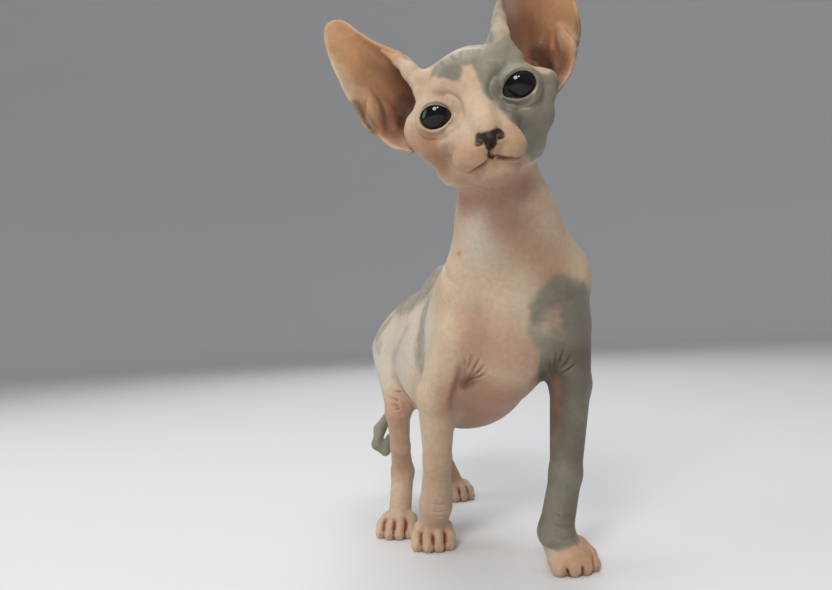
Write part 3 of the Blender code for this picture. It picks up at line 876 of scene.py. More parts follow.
def settle(mesh: bpy.types.Mesh, rule: Field, weight: Array, steps: int, reach: float) -> None:
    """Move points along the rule's slope until they lie where it is nought.

    Args:
        mesh: the mesh to move.
        rule: gives the distance of points from the skin.
        weight: how much each point follows the rule, 0 to 1.
        steps: how often each point is moved.
        reach: the furthest that a point moves in one step.
    """
    p = points_of(mesh)
    chosen = weight > 0.0
    q, share = p[chosen], weight[chosen][:, None]
    probe, least_slope = 0.08, 0.25
    for _ in range(steps):
        d = rule(q)
        slope = np.stack([rule(q + e) - d for e in np.eye(3) * probe], 1) / probe
        move = d[:, None] * slope / np.maximum((slope ** 2).sum(1), least_slope)[:, None]
        size = np.linalg.norm(move, axis=1, keepdims=True)
        q = q - move * share * np.minimum(1.0, reach / np.maximum(size, TINY))
    p[chosen] = q
    move_points(mesh, p)


# ---- folds ----------------------------------------------------------------------------
@dataclass(frozen=True)
class Stroke:
    """A fold raised, or a groove pressed, along a line on the skin."""

    path: tuple[Point, ...]
    width: float
    lift: float
    on_head: bool = False           # the path is measured in the head's frame
    both: bool = False              # it lies on both sides of the head
    ends: float = 0.25              # the share of the line over which either end fades
    lips: float = 0.0               # how much the skin swells beside it
    # how much reddish painted shade lies in the groove's depth
    groove_shade: float = 1.0

    def heights(self, at: Array, tree: KDTree) -> Array:
        """Give how far each point is lifted.

        Args:
            at: the skin's points, one row each, in the frame of the path.
            tree: the same points, to look up those nearest to the path.
        Returns:
            The lift of each point along its normal.
        """
        total = np.zeros(len(at))
        for side in ((1, -1) if self.both else (1,)):
            line = smooth_line([(x * side, y, z) for x, y, z in self.path])
            line = np.array([tree.find(point)[0][:] for point in line])
            line[1:-1] = (line[:-2] + line[1:-1] + line[2:]) / 3.0
            reach = 4.0 * self.width
            near = ((at > line.min(0) - reach) & (at < line.max(0) + reach)).all(1)
            d, along = line_distance(at[near], line)
            fade = eased(along, 0.0, self.ends) * eased(1.0 - along, 0.0, self.ends)
            rise = np.exp(-(d / self.width) ** 2)
            lip = self.lips * np.exp(-((d - 1.9 * self.width) / (0.8 * self.width)) ** 2)
            total[near] += self.lift * fade * (rise - lip)
        return total


def toe_grooves() -> list[Stroke]:
    """Lay the grooves between the toes, from the floor to over the knuckles.

    Returns:
        Three grooves for each paw, shallower where its cleft is.
    """
    grooves = []
    width, depth = 0.19, 0.34           # in radii of a toe
    for leg in four_legs().values():
        toes = leg.paw.toes()
        for one, other in zip(toes, toes[1:]):
            tip, middle, knuckle = ((one[i] + other[i]) / 2 for i in (2, 1, 0))
            path = (tuple(tip), tuple(middle), tuple((middle + knuckle) / 2))
            grooves.append(Stroke(path, one[3] * width, -one[3] * depth * leg.paw.cleft, ends=0.3,
                                  groove_shade=leg.paw.cleft))
    return grooves


def creases(start: Point, ends: Sequence[Point], depth: float) -> list[Stroke]:
    """Lay creases that fan out from one place, as in an armpit, with a short one between each two.

    Args:
        start: the place where they meet.
        ends: where the long ones end.
        depth: how deep the long ones are pressed.
    Returns:
        The long creases, then the short ones.
    """
    short, shallow, clear, bow = 0.72, 0.65, 0.06, 0.8
    root, tips = np.array(start, float), [np.array(end, float) for end in ends]
    between = [root + ((a + b) / 2 - root) * short for a, b in zip(tips, tips[1:])]
    found = []
    for tip, share in [(tip, 1.0) for tip in tips] + [(tip, shallow) for tip in between]:
        path = (tuple(root + (tip - root) * clear), tuple((root + tip) / 2 + bow), tuple(tip))
        found.append(Stroke(path, 0.6, -depth * share, ends=0.45, lips=0.35, groove_shade=0.5))
    return found


def wrinkles(lines: Sequence[tuple[tuple[Point, ...], float, float]]) -> list[Stroke]:
    """Give faint wrinkles across a wrist, each by its path, width and lift."""
    return [Stroke(path, width, lift, lips=0.4, groove_shade=0.3) for path, width, lift in lines]


@dataclass(frozen=True)
class LidFold:
    """A fold that runs round the eye beside the opening of the lids."""

    start: float
    stop: float
    beyond: float
    width: float
    lift: float

    def heights(self, eye: EyeSize, q: Array) -> Array:
        """Give how far the fold round one eye lifts the skin.

        Args:
            eye: the eye.
            q: points in the head's frame, one row each.
        Returns:
            The lift of each point along its normal.
        """
        e = eye.into_eye(q)
        a, b = eye.opening
        beside = (np.sqrt((e[:, 0] / a) ** 2 + (e[:, 1] / b) ** 2) - 1.0) * (a + b) / 2
        angle = np.degrees(np.arctan2(e[:, 1], e[:, 0])) % 360.0
        middle, half = (self.start + self.stop) / 2, (self.stop - self.start) / 2
        off = np.abs((angle - middle + 180.0) % 360.0 - 180.0)
        fade = 1.0 - eased(off, half * 0.6, half)
        rise = np.exp(-((beside - self.beyond) / self.width) ** 2)
        front = eased(e[:, 2], -1.0, 2.0) * eased(14.0 - np.linalg.norm(e, axis=1), 0.0, 1.5)
        return self.lift * fade * rise * front


@dataclass(frozen=True)
class Folds:
    """Every fold of the skin: lids, nose, mouth, brow, ears, armpits, groins and wrists."""

    # from and to, in degrees round the eye; how far beyond the lids' edge; width and lift
    lids: tuple[LidFold, ...] = (
        LidFold(0, 360, 0.55, 0.55, 0.22),
        LidFold(185, 355, 2.2, 0.5, -0.30), LidFold(195, 345, 4.2, 0.6, -0.32),
        LidFold(200, 340, 3.2, 0.6, 0.16), LidFold(25, 165, 2.6, 0.7, -0.22),
    )
    strokes: tuple[Stroke, ...] = (
        # the line under the nose, and both sides of the mouth
        Stroke(((1.5, -18.0, -17.5), (1.2, -16.0, -21.0), (0.6, -14.0, -23.2)), 0.6, -1.0, True,
               ends=0.1, lips=0.2),
        Stroke(((0.5, -13.0, -23.2), (3.6, -13.0, -24.8), (7.2, -12.0, -25.9), (11.0, -8.5, -26.4),
                (13.6, -4.5, -25.6)), 0.6, -1.3, True, ends=0.2, lips=0.2),
        Stroke(((0.5, -13.0, -23.2), (-1.8, -13.0, -24.2), (-4.6, -13.0, -25.2),
                (-8.2, -12.0, -25.9), (-11.6, -9.0, -25.4), (-14.2, -6.0, -23.6),
                (-15.8, -4.0, -21.0)), 0.7, -1.1, True, ends=0.25, lips=0.2),
        # the hollows behind the whisker pads, the nostrils, the crease under the chin
        Stroke(((-14.5, -2, -8), (-16.5, -2, -14), (-17.5, -1, -19), (-17, 2, -24)), 1.6, -0.9,
               True, ends=0.35, groove_shade=0.25),
        Stroke(((13.5, -3, -9), (15, -4, -15), (16, -3, -20), (15, 0, -25)), 1.6, -0.7, True,
               ends=0.35, groove_shade=0.25),
        Stroke(((4.2, -17.5, -16.9), (5.6, -15.5, -17.3), (6.5, -13.5, -16.4)), 0.6, -1.3, True),
        Stroke(((-1.2, -17.5, -16.8), (-2.6, -15.5, -17.2), (-3.5, -13.5, -16.2)), 0.6, -1.3, True),
        Stroke(((-4, -2, -33), (-3, 1, -37), (-2, 3, -42)), 1.0, -1.3, True, lips=0.5),
        # the brows and the furrows between them
        Stroke(((6, -2, 11.5), (11, -1.5, 11), (16, 1, 9.5)), 2.2, 0.7, True, both=True),
        Stroke(((2.5, 2, 14), (3.5, 8, 18)), 0.6, -0.45, True, both=True, lips=0.4),
        Stroke(((6, 2, 13), (7.5, 8, 17.5)), 0.6, -0.4, True, both=True, lips=0.4),
        Stroke(((-0.5, 1, 14), (0, 8, 18.5)), 0.6, -0.4, True, lips=0.4),
        # the ribs in the ears
        Stroke(((33.6, 24, 11), (36.4, 26, 17), (40.5, 24, 22)), 1.5, 0.9, True, both=True),
        Stroke(((27, 22, 16), (31, 24, 27), (37, 25, 39), (41, 25, 48)), 1.8, 0.6, True, both=True),
        Stroke(((31, 24, 17), (36, 26, 28), (42, 25, 38)), 1.5, -0.5, True, both=True),
        Stroke(((35, 20, 2), (33.5, 22, 7), (31, 24, 10)), 1.4, 0.7, True, both=True),
        # the armpits, with the fold over the right one
        *creases((-20.5, -61, 90), ((-22, -69, 105), (-19.5, -72, 107), (-15.5, -73, 105),
                                    (-12, -71.5, 101.5), (-11, -70.5, 96.5)), 1.0),
        *creases((21.6, -69, 88), ((16.5, -75.5, 100), (18, -80, 105), (21, -82, 107.5),
                                   (25.5, -82, 105), (29, -80, 101)), 1.15),
        Stroke(((-21.5, -46, 77), (-22.5, -55, 87), (-23, -63, 95), (-23, -68, 101),
                (-22.5, -70.5, 105)), 1.7, -1.5, ends=0.3, lips=0.25, groove_shade=0.2),
        # the groins, with the fold of the right flank
        Stroke(((-26, -6, 77), (-29, 2, 84), (-28.5, 14, 89), (-27, 23, 92)), 1.6, -1.2, ends=0.3,
               lips=0.3, groove_shade=0.4),
        *creases((-26, 3, 75), ((-30.5, 28, 84), (-31, 28, 79), (-32, 27, 74), (-31, 22, 70),
                                (-26, 17, 66)), 1.15),
        *creases((18, 14, 72), ((29, 34, 88), (30, 32, 83), (29, 28, 77)), 0.9),
        *wrinkles(((((14, -70, 25), (22, -74, 22), (31, -70, 24)), 0.7, -0.35),
                   (((14, -70, 19.5), (22, -74, 16.5), (31, -70, 19)), 0.7, -0.45),
                   (((15, -70, 30), (19, -73, 27), (26, -72, 28)), 0.6, -0.3),
                   (((-28, -18, 27), (-22, -21, 26), (-13, -16, 28)), 0.6, -0.35),
                   (((-27, -18, 23), (-22, -21, 21.5), (-14, -17, 23)), 0.6, -0.35),
                   (((-26, -20, 18.5), (-21, -22, 17.5), (-15, -19, 18.5)), 0.5, -0.3))),
    )
    shade_from: float = 0.1           # how deep a groove is where its painted shade begins
    shade_at: float = 1.1             # and where it is full

    def press(self, mesh: bpy.types.Mesh, flesh: Flesh) -> None:
        """Lift and press the skin along every fold, and write down how much reddish painted shade
        lies in each groove.

        Args:
            mesh: the skin, in the skeleton's millimetres.
            flesh: the kitten, whose head and eyes place the folds.
        """
        p, n = points_of(mesh), points_of(mesh, "normal")
        q = flesh.head.pose.into_head(p)
        rise, red = np.zeros(len(p)), np.zeros(len(p))
        for at, strokes in ((p, [*toe_grooves(), *(s for s in self.strokes if not s.on_head)]),
                            (q, [s for s in self.strokes if s.on_head])):
            tree = KDTree(len(at))
            for i, point in enumerate(at):
                tree.insert(point, i)
            tree.balance()
            for stroke in strokes:
                lift = stroke.heights(at, tree)
                rise += lift
                # painted shade, reddish dark, that deepens with the groove
                red = np.maximum(red, eased(-lift, self.shade_from, self.shade_at) * stroke.groove_shade)
        for eye in flesh.head.eyes:
            for fold in self.lids:
                rise += fold.heights(eye, q)
        move_points(mesh, p + n * rise[:, None])
        # the painted shade of the grooves, later laid into the red marks
        layer = mesh.attributes.new("pressed", "FLOAT", "POINT")
        layer.data.foreach_set("value", red.astype(np.float32))


# ---- markings -------------------------------------------------------------------------
class Mark(Enum):
    """What a patch of skin is stained with, or the painted shade or painted highlight laid on it; the
    value names the attribute on the skin's points.
    """

    GREY = "grey"
    FLUSH = "flush"
    TAN = "tan"
    # dark pigment, and painted shade in armpits, groin, ear cups, toe clefts and beside the muzzle
    DARK = "dark"
    # paler skin, and painted highlights on the flank, neck and breast
    PALE_AND_HIGHLIGHT = "pale"
    # a reddish tint, and reddish painted shade in grooves, armpits, groin, ear cups and under the jaw
    RED = "red"


@dataclass(frozen=True)
class Patch:
    """A stain, a painted shade or a painted highlight that follows a line of points through the skin.
    """

    mark: Mark
    path: tuple[Point, ...]
    radius: float
    soft: float = 3.0
    strength: float = 1.0
    on_head: bool = False           # the path is measured in the head's frame
    both: bool = False              # it lies on both sides of the head
    snap: bool = False              # the path is laid on the nearest points of the skin

    def stain(self, p: Array, q: Array, value: Array) -> Array:
        """Lay the patch over the stain so far; a negative strength wipes it away.

        Args:
            p: the skin's points, one row each.
            q: the same points in the head's frame.
            value: the stain so far, one value for each point.
        Returns:
            The stain with the patch.
        """
        at = q if self.on_head else p
        for side in ((1, -1) if self.both else (1,)):
            line = smooth_line([(x * side, y, z) for x, y, z in self.path])
            if self.snap:
                line = np.array([at[((at - point) ** 2).sum(1).argmin()] for point in line])
            d, _ = line_distance(at, line)
            cover = 1.0 - eased(d, self.radius - self.soft, self.radius + self.soft)
            wiped = self.strength < 0
            value = (value * (1.0 + cover * self.strength) if wiped
                     else np.maximum(value, cover * self.strength))
        return value


def on_head(mark: Mark, path: Sequence[Point], radius: float, soft: float = 2.0,
            strength: float = 1.0, both: bool = False, snap: bool = False) -> Patch:
    """Give a patch whose path is measured in the head's frame.

    Args:
        mark: what it is stained with.
        path: the line that it follows.
        radius: how far it reaches from the line.
        soft: how soft its border is.
        strength: how strong it is; below nought it wipes away.
        both: whether it lies on both sides of the head.
        snap: whether its line is laid on the nearest points of the skin.
    Returns:
        The patch.
    """
    return Patch(mark, tuple(path), radius, soft, strength, True, both, snap)


def head_patches() -> list[Patch]:
    """List the stains and painted shade of the head and ears.

    Returns:
        The patches, each kind in the order of laying.
    """
    return [
        # the grey cap, the mask round the left eye, and the back of the head
        on_head(Mark.GREY, ((-9, 5, 17), (-1, 2.5, 16.5), (5, 1, 14.5), (10, 2, 14), (15, 6, 13)),
                6.2, 2.5, 0.72),
        on_head(Mark.GREY, ((-8, 0, 13.6), (-4.2, -2.6, 11.6)), 3.8, 2.5),
        on_head(Mark.GREY, ((3.2, -4, 9.6), (2.8, -4, 6)), 2.2, 1.8, -0.9),
        on_head(Mark.GREY, ((10.5, -2, 9.5), (11, -3.5, 5), (11.8, -4.5, 1), (14, -5.5, -4),
                            (16.4, -6, -9), (17, -5.5, -12.5), (20, -4, -19), (19, 2, -24)), 7.6),
        on_head(Mark.GREY, ((18, 8, 10), (24, 10, -4), (22, 10, -12), (19, 10, -20)), 10, 3),
        on_head(Mark.GREY, ((8, 20, 18), (16, 26, 10), (20, 26, -4)), 13, 4),
        on_head(Mark.GREY, ((-6, 20, 20), (-8, 34, 12), (-4, 42, 0)), 12, 4, 0.7),
        # faint dark streaks up the brow
        on_head(Mark.DARK, ((-8, -1, 13.5), (-7, 8, 20)), 1.0, 0.9, 0.2, snap=True),
        on_head(Mark.DARK, ((-5, -1.5, 12.5), (-3.4, 8, 20)), 0.8, 0.9, 0.24, snap=True),
        on_head(Mark.DARK, ((-1.5, -1, 13), (0.5, 8, 20)), 1.0, 0.9, 0.18, snap=True),
        on_head(Mark.DARK, ((3.4, -1, 13), (5, 8, 19)), 0.8, 0.9, 0.2, snap=True),
        on_head(Mark.DARK, ((-7, -1, 13.2), (-4.2, -2.6, 11.6)), 3, 2.2, 0.16),
        # the root of the left ear, the paler fold in front of it and the shade beside its edge
        on_head(Mark.GREY, ((15, 12, 22), (17, 13, 28)), 4.5, 2.5, 0.55),
        on_head(Mark.GREY, ((25, 28, 12), (30, 29, 24), (35, 28, 40)), 9, 3, -0.95),
        on_head(Mark.GREY, ((21.5, 9, 5.5), (25.6, 8, 3), (29, 9, 0.6)), 2.6, 1.4, -0.8),
        on_head(Mark.DARK, ((18.5, 15, 31), (22, 18, 38), (26, 20, 46)), 2.6, 2.2, 0.4),
        # cheeks, whisker pads, chin and bridge, with painted shade in the hollow behind the right
        # whisker pad and under the jaw
        on_head(Mark.TAN, ((-21.3, 2.5, -9), (-20.5, 3.1, -14), (-20.6, 8, -19)), 6, 4.5, 0.62),
        # painted shade in the hollow behind the right whisker pad
        on_head(Mark.TAN, ((-16.5, -2, -14), (-17.5, -1, -19), (-17, 2, -24)), 2.6, 2.4, 0.75),
        on_head(Mark.DARK, ((-21.3, 2.5, -9), (-20.5, 3.1, -14), (-20.6, 8, -19)), 6, 5, 0.1),
        on_head(Mark.TAN, ((-10, -9, -20), (-4, -13, -20)), 8, 5, 0.46),
        on_head(Mark.TAN, ((10, -8, -21), (5, -12, -20)), 7, 5, 0.46),
        on_head(Mark.FLUSH, ((-9, -10, -20), (0, -6, -28), (9, -8, -21)), 9, 6, 0.5),
        # painted shade on the lower muzzle and under the jaw, over a red tint
        on_head(Mark.RED, ((-9, -10, -21), (0, -6, -28), (9, -8, -22)), 8, 5, 0.2),
        on_head(Mark.RED, ((-15, 2, -29), (-4, -4, -33), (6, -4, -33), (14, 2, -30)), 5, 5, 0.32),
        on_head(Mark.RED, ((-21.3, 2.5, -9), (-20.5, 3.1, -14), (-20.6, 8, -19)), 6, 5, 0.28),
        on_head(Mark.FLUSH, ((-12, 4, 8), (0, 0, 8), (-2, -6, -2)), 9, 6, 0.2),
        on_head(Mark.FLUSH, ((-30, 6, -8), (-25, 2, -15), (-19, 2, -24), (-14, 6, -30)), 6.5, 5,
                0.9),
        on_head(Mark.FLUSH, ((-8, -6, -30), (1, -8, -32), (9, -5, -31)), 5, 4, 0.7),
        on_head(Mark.FLUSH, ((-15, -6, -15), (-17, -4, -20)), 3.5, 3, 0.6),
        on_head(Mark.FLUSH, ((-1.5, -16, -13), (1.5, -16, -11), (4, -15, -13)), 3, 2.5, 0.5),
        on_head(Mark.FLUSH, ((11, -3, -29), (14, 4, -30)), 5, 4, 0.5),
        # the dark of the mask, part of it painted shade down the side of the bridge and the muzzle,
        # then the nose, the line under it and the mouth
        on_head(Mark.DARK, ((10.5, -2.5, 1), (10.5, -4.5, -4.5), (13.5, -6, -10.5), (16.5, -5, -16),
                            (17.5, -3, -22)), 3.2, 3, 0.5),
        on_head(Mark.DARK, ((14.5, -6, -12), (17, -5, -17), (17.5, -3, -23)), 3.0, 2.8, 0.6),
        on_head(Mark.DARK, ((-2.6, -15.6, -15.0), (0, -17.6, -15.4), (1.5, -18.2, -15.5),
                            (3.2, -17.6, -15.5), (5.7, -15.6, -15.3)), 1.35, 0.4, 1.0),
        on_head(Mark.DARK, ((-0.2, -17.6, -16.8), (1.4, -18, -17), (2.9, -17.6, -16.8)), 1.5, 0.45),
        on_head(Mark.DARK, ((-3.0, -15.2, -16), (-1.4, -16.8, -17.3)), 0.9, 0.4, 0.9, snap=True),
        on_head(Mark.DARK, ((6.0, -15.2, -16.2), (4.4, -16.8, -17.4)), 0.9, 0.4, 0.9, snap=True),
        on_head(Mark.DARK, ((1.4, -18, -17), (1.35, -18, -18.2)), 2.5, 0.4, 1.0),
        on_head(Mark.DARK, ((1.3, -18, -18.4), (1.2, -17.5, -19.8)), 1.7, 0.4, 1.0, snap=True),
        on_head(Mark.DARK, ((1.2, -17.5, -19.8), (1.0, -16.6, -21.2)), 1.15, 0.4, 1.0, snap=True),
        on_head(Mark.DARK, ((1.1, -17, -20.6), (0.8, -16, -22), (0.4, -14.4, -24)), 0.75, 0.4, 1.0,
                snap=True),
        on_head(Mark.DARK, ((0.5, -14, -23.5), (3.6, -13, -24.8), (7.2, -12, -25.9),
                            (11, -8.5, -26.4), (13.6, -4.5, -25.6)), 0.55, 0.4, 0.75, snap=True),
        on_head(Mark.DARK, ((0.5, -14, -23.5), (-1.8, -13, -24.2), (-4.6, -13, -25.2),
                            (-6.6, -12.6, -25.6)), 0.5, 0.4, 0.5, snap=True),
        # the ears: tan towards the tips; a red tint and painted shade down in the cups and along the
        # inner edge of the right ear; tan pouches with painted shade along their outer edges
        on_head(Mark.TAN, ((-48, 24, 50), (-46, 26, 40), (-40, 26, 30)), 9, 6, 0.75),
        on_head(Mark.TAN, ((-36, 23, 41), (-30, 21, 35), (-25, 18, 29)), 4.5, 3, 1.0),
        on_head(Mark.DARK, ((-27, 20, 31), (-22.5, 17, 26), (-21, 16, 22)), 2.2, 1.8, 0.45),
        on_head(Mark.TAN, ((38, 24, 58), (42, 25, 48), (45, 22, 36), (46.5, 20, 24)), 7, 5, 0.8),
        on_head(Mark.FLUSH, ((28, 24, 8), (33, 28, 14), (37, 28, 24), (37, 27, 36)), 9, 5,
                both=True),
        on_head(Mark.FLUSH, ((33, 14, -2), (38, 16, 4)), 5, 3, 0.9, both=True),
        on_head(Mark.DARK, ((29, 28, 13), (30.5, 27, 9.5), (31, 24.5, 6)), 4.6, 2.8, 0.72, both=True),
        on_head(Mark.DARK, ((27, 28, 22), (30, 28.5, 16), (32, 27, 10), (33.5, 22, 4)), 6.5, 4,
                0.22, both=True),
        on_head(Mark.RED, ((26, 28, 24), (28, 28.5, 16), (31, 27, 10), (33.5, 22, 4)), 8, 5, 0.75,
                both=True),
        on_head(Mark.RED, ((28, 28, 26), (31, 29, 36), (34, 28, 46)), 9, 6, 0.35),
        on_head(Mark.RED, ((-31, 28, 20), (-36, 27, 28)), 9, 7, 0.25),
        on_head(Mark.DARK, ((25, 28, 26), (29, 29, 33), (33, 28, 44)), 7.5, 5, 0.2),
        on_head(Mark.DARK, ((-38, 27, 28), (-36, 26.5, 19), (-39, 19, 11)), 7, 5, 0.22),
        on_head(Mark.TAN, ((28, 27, 10), (33, 28, 18), (36, 28, 28), (37, 27, 38)), 10, 5, 0.72,
                both=True),
        on_head(Mark.FLUSH, ((28, 27, 10), (33, 28, 18), (36, 28, 28), (37, 27, 38)), 10, 5,
                both=True),
        on_head(Mark.DARK, ((47.4, 18, 17), (45.2, 14.6, 11.5), (43, 12.8, 5)), 2.9, 1.8, 0.6,
                both=True),
        on_head(Mark.TAN, ((43, 22, 20), (43, 17, 12), (40, 15, 4)), 6, 4, 0.62, both=True),
        on_head(Mark.DARK, ((42, 24, 20), (42.5, 18, 13), (41, 15, 6)), 4.5, 3, 0.16, both=True),
    ]


def body_patches() -> list[Patch]:
    """List the stains, painted shade and painted highlights of the body and legs.

    Returns:
        The patches, each kind in the order of laying.
    """
    return [
        # the patch on the left breast and shoulder
        Patch(Mark.GREY, ((12.5, -93, 127), (11.5, -88, 118), (15, -84, 110)), 11, 5, 0.8),
        Patch(Mark.GREY, ((26, -90, 121), (28, -86, 112), (27, -80, 101)), 12, 7, 0.82),
        Patch(Mark.GREY, ((36, -78, 118), (39, -60, 116), (38, -40, 108)), 13, 7, 0.9),
        Patch(Mark.GREY, ((15, -95, 130), (24, -93, 128), (33, -87, 122)), 6, 5, 0.85),
        Patch(Mark.DARK, ((13, -95, 130), (19, -94, 127)), 4, 4, 0.16),
        Patch(Mark.GREY, ((9, -84, 113), (13, -88, 120.5), (15.5, -86.5, 116.5)), 3.2, 3, -0.42),
        Patch(Mark.GREY, ((15, -85, 112), (19, -84, 106)), 4.5, 4, -0.2),
        # the grey left foreleg, warm on its inner side
        Patch(Mark.GREY, ((27, -72, 100), (32, -65, 87), (27.5, -66, 45), (21, -65, 26)), 16, 2.0),
        Patch(Mark.GREY, ((22, -69, 90), (21.5, -68, 78), (19, -66, 60)), 4.5, 4.5, -0.65),
        Patch(Mark.FLUSH, ((22, -69, 90), (22, -68, 80), (19, -66, 68)), 7, 4, 1.0),
        Patch(Mark.DARK, ((22, -69, 90), (22, -68, 80), (19, -66, 68)), 6, 5, 0.2),
        Patch(Mark.RED, ((22, -69, 92), (21.5, -68, 78), (19, -66, 60)), 6.5, 5, 0.5),
        Patch(Mark.DARK, ((27, -72, 98), (32, -65, 87), (27.5, -66, 45), (22, -65, 30)), 15, 5,
              0.36),
        # painted shade on the breast, under the chin and on the belly, and tan on the breast
        Patch(Mark.DARK, ((24, -88, 114), (28, -84, 104)), 9, 6, 0.3),
        Patch(Mark.RED, ((12, -93, 127), (24, -88, 116), (30, -84, 106)), 12, 8, 0.3),
        Patch(Mark.RED, ((-27, -90, 168), (-20, -101, 169), (-10, -106, 170)), 6, 5, 0.25),
        Patch(Mark.RED, ((-14, -55, 82), (4, -48, 74), (10, -6, 60), (6, 34, 68)), 17, 7, 0.12),
        Patch(Mark.DARK, ((12, -94, 130), (14, -92, 124)), 6, 5, 0.14),
        Patch(Mark.TAN, ((12, -90, 124), (24, -88, 116), (30, -84, 106)), 12, 8, 0.2),
        # the back, the bands down both flanks, the tail and the nape
        Patch(Mark.GREY, ((2, -46, 152), (1, -20, 148), (0, 10, 146), (-3, 40, 136), (-5, 70, 122)),
              15, 4),
        Patch(Mark.GREY, ((-18, -40, 141), (-19, -10, 137), (-14, 32, 133)), 12, 8, 0.66),
        Patch(Mark.GREY, ((-25, -38, 130), (-29, -35, 117), (-30, -32, 107), (-29.5, -31, 98)),
              9, 8, 0.58),
        Patch(Mark.GREY, ((-28, -12, 116), (-29, 6, 108), (-27, 20, 100)), 6, 8, 0.5),
        Patch(Mark.GREY, ((-26, -2, 120), (-29, -3, 114), (-30, 0, 106)), 3.6, 3.5, 0.5),
        Patch(Mark.GREY, ((-24, 42, 122), (-27, 46, 114), (-28, 44, 106)), 6, 5, 0.6),
        Patch(Mark.GREY, ((-20, 58, 112), (-16, 68, 104)), 10, 4),
        Patch(Mark.GREY, ((10, -24, 144), (24, -18, 134), (32, -6, 119)), 11, 8, 0.74),
        Patch(Mark.GREY, ((30, -34, 112), (34, -18, 101)), 7, 7, 0.6),
        Patch(Mark.GREY, ((12, 22, 136), (22, 34, 124), (26, 50, 108)), 14, 8, 0.85),
        Patch(Mark.GREY, ((28, 22, 108), (31, 34, 92), (27, 46, 72)), 8, 7, 0.7),
        Patch(Mark.GREY, Tail().points, 10, 2),
        Patch(Mark.GREY, ((-14, -60, 184), (-8, -62, 170), (2, -50, 156)), 10, 4),
        # where the blood shows: throat, breast, belly, legs and paws
        Patch(Mark.FLUSH, ((-20, -104, 166), (-14, -103, 156), (-4, -100, 147), (8, -95, 141)),
              8, 6, 0.8),
        Patch(Mark.FLUSH, ((6, -90, 160), (20, -72, 150)), 10, 8, 0.3),
        Patch(Mark.FLUSH, ((-16, -80, 108), (-5, -80, 102), (6, -80, 100)), 10, 8, 0.75),
        Patch(Mark.FLUSH, ((-14, -55, 82), (4, -48, 74), (10, -6, 60), (6, 34, 68)), 17, 7, 1.0),
        Patch(Mark.FLUSH, ((15, -72, 88), (16, -66, 80), (17, -62, 72)), 6, 3, 1.0),
        Patch(Mark.FLUSH, ((-21, -28, 52), (-20, -18, 34), (-20, -12, 18)), 10, 7, 0.5),
        Patch(Mark.FLUSH, ((-30, 14, 78), (-27, 26, 66), (-24, 36, 48), (-21, 45, 31)), 10, 6,
              0.75),
        Patch(Mark.FLUSH, ((22, 68, 52), (21, 88, 42), (26, 74, 8)), 14, 6, 0.8),
        Patch(Mark.FLUSH, ((26, -76, 8), (30, -66, 6)), 12, 6, 0.45),
        Patch(Mark.FLUSH, ((-22, -16, 6), (-20, -10, 8)), 12, 6, 0.3),
        # a mole on the neck
        Patch(Mark.TAN, ((-26.6, -76, 148.9), (-27.4, -75, 148.6)), 1.4, 0.7, 1.0, snap=True),
        # painted shade in the armpits, in the groin and between the right foreleg and the breast;
        # flush on the throat and down the right foreleg; tan on the forepaws
        Patch(Mark.RED, ((-18, -76, 122), (-20.5, -73, 108), (-21, -66, 96)), 5.5, 6, 0.3),
        Patch(Mark.RED, ((-20.5, -60, 89), (-19, -64, 93)), 4, 4, 0.55),
        Patch(Mark.RED, ((21.5, -68, 88), (20, -74, 95)), 4, 4, 0.55),
        Patch(Mark.RED, ((-26, -2, 76), (-28.5, 10, 84), (-28, 22, 90)), 3, 3.5, 0.4),
        Patch(Mark.FLUSH, ((-28, -90, 171), (-22, -101, 172), (-12, -106, 173)), 8, 5, 0.85),
        Patch(Mark.FLUSH, ((-22, -72, 117), (-20, -73, 107)), 8, 6, 0.55),
        Patch(Mark.TAN, ((26, -76, 4), (30, -66, 2)), 13, 6, 0.48),
        Patch(Mark.TAN, ((-22, -16, 4), (-20, -10, 6)), 12, 6, 0.4),
        Patch(Mark.FLUSH, ((-25, -40, 84), (-21, -26, 52)), 10, 7, 0.3),
        # paler skin and painted highlights on the flank, the neck and the breast
        Patch(Mark.PALE_AND_HIGHLIGHT, ((-28, -30, 118), (-30, 0, 108), (-28, 34, 104), (-24, 50, 96)),
              20, 10, 0.62),
        Patch(Mark.PALE_AND_HIGHLIGHT, ((-29, 10, 86), (-28, 30, 92)), 9, 8, 0.5),
        Patch(Mark.PALE_AND_HIGHLIGHT, ((-24, -92, 158), (-22, -86, 146)), 7, 7, 0.4),
        Patch(Mark.PALE_AND_HIGHLIGHT, ((0, -92, 124), (3, -90, 116)), 6, 7, 0.35),
        # painted shade in the depth of the armpits and the groin
        Patch(Mark.DARK, ((-20.5, -60, 89), (-19, -63, 91)), 2.6, 2.6, 0.5),
        Patch(Mark.DARK, ((-21.5, -46, 77), (-22.5, -55, 87), (-22.5, -64, 96)), 1.6, 1.6, 0.25),
        Patch(Mark.DARK, ((21.5, -68, 88), (21.5, -70, 91)), 2.4, 2.4, 0.5),
        Patch(Mark.DARK, ((-26, -4, 75), (-28, 1, 82), (-28.5, 12, 88)), 2.0, 2.0, 0.45),
    ]


def toe_patches() -> list[Patch]:
    """Lay painted shade in the clefts between the toes, and the flush round them.

    Returns:
        Two patches for each cleft.
    """
    patches = []
    up = np.array((0.0, 0.0, 1.0))
    for leg in four_legs().values():
        toes = leg.paw.toes()
        _, ahead, _ = leg.paw.frame()
        for (_, mid_a, tip_a, r), (_, mid_b, tip_b, _) in zip(toes, toes[1:]):
            middle, tip = (mid_a + mid_b) / 2, (tip_a + tip_b) / 2
            line = (tuple(middle + up * r * 0.6), tuple(tip + (up + ahead) * r * 0.45),
                    tuple(tip + ahead * r * 0.65 - up * r * 0.6))
            cleft = (tuple(tip + ahead * r * 0.45 + up * r * 0.2),
                     tuple(tip + ahead * r * 0.7 - up * r * 0.7))
            # painted shade in the cleft
            patches.append(Patch(Mark.DARK, cleft, r * 0.18, 0.5, 0.9, snap=True))
            patches.append(Patch(Mark.FLUSH, line, r * 0.6, 1.6, 1.0))
    return patches


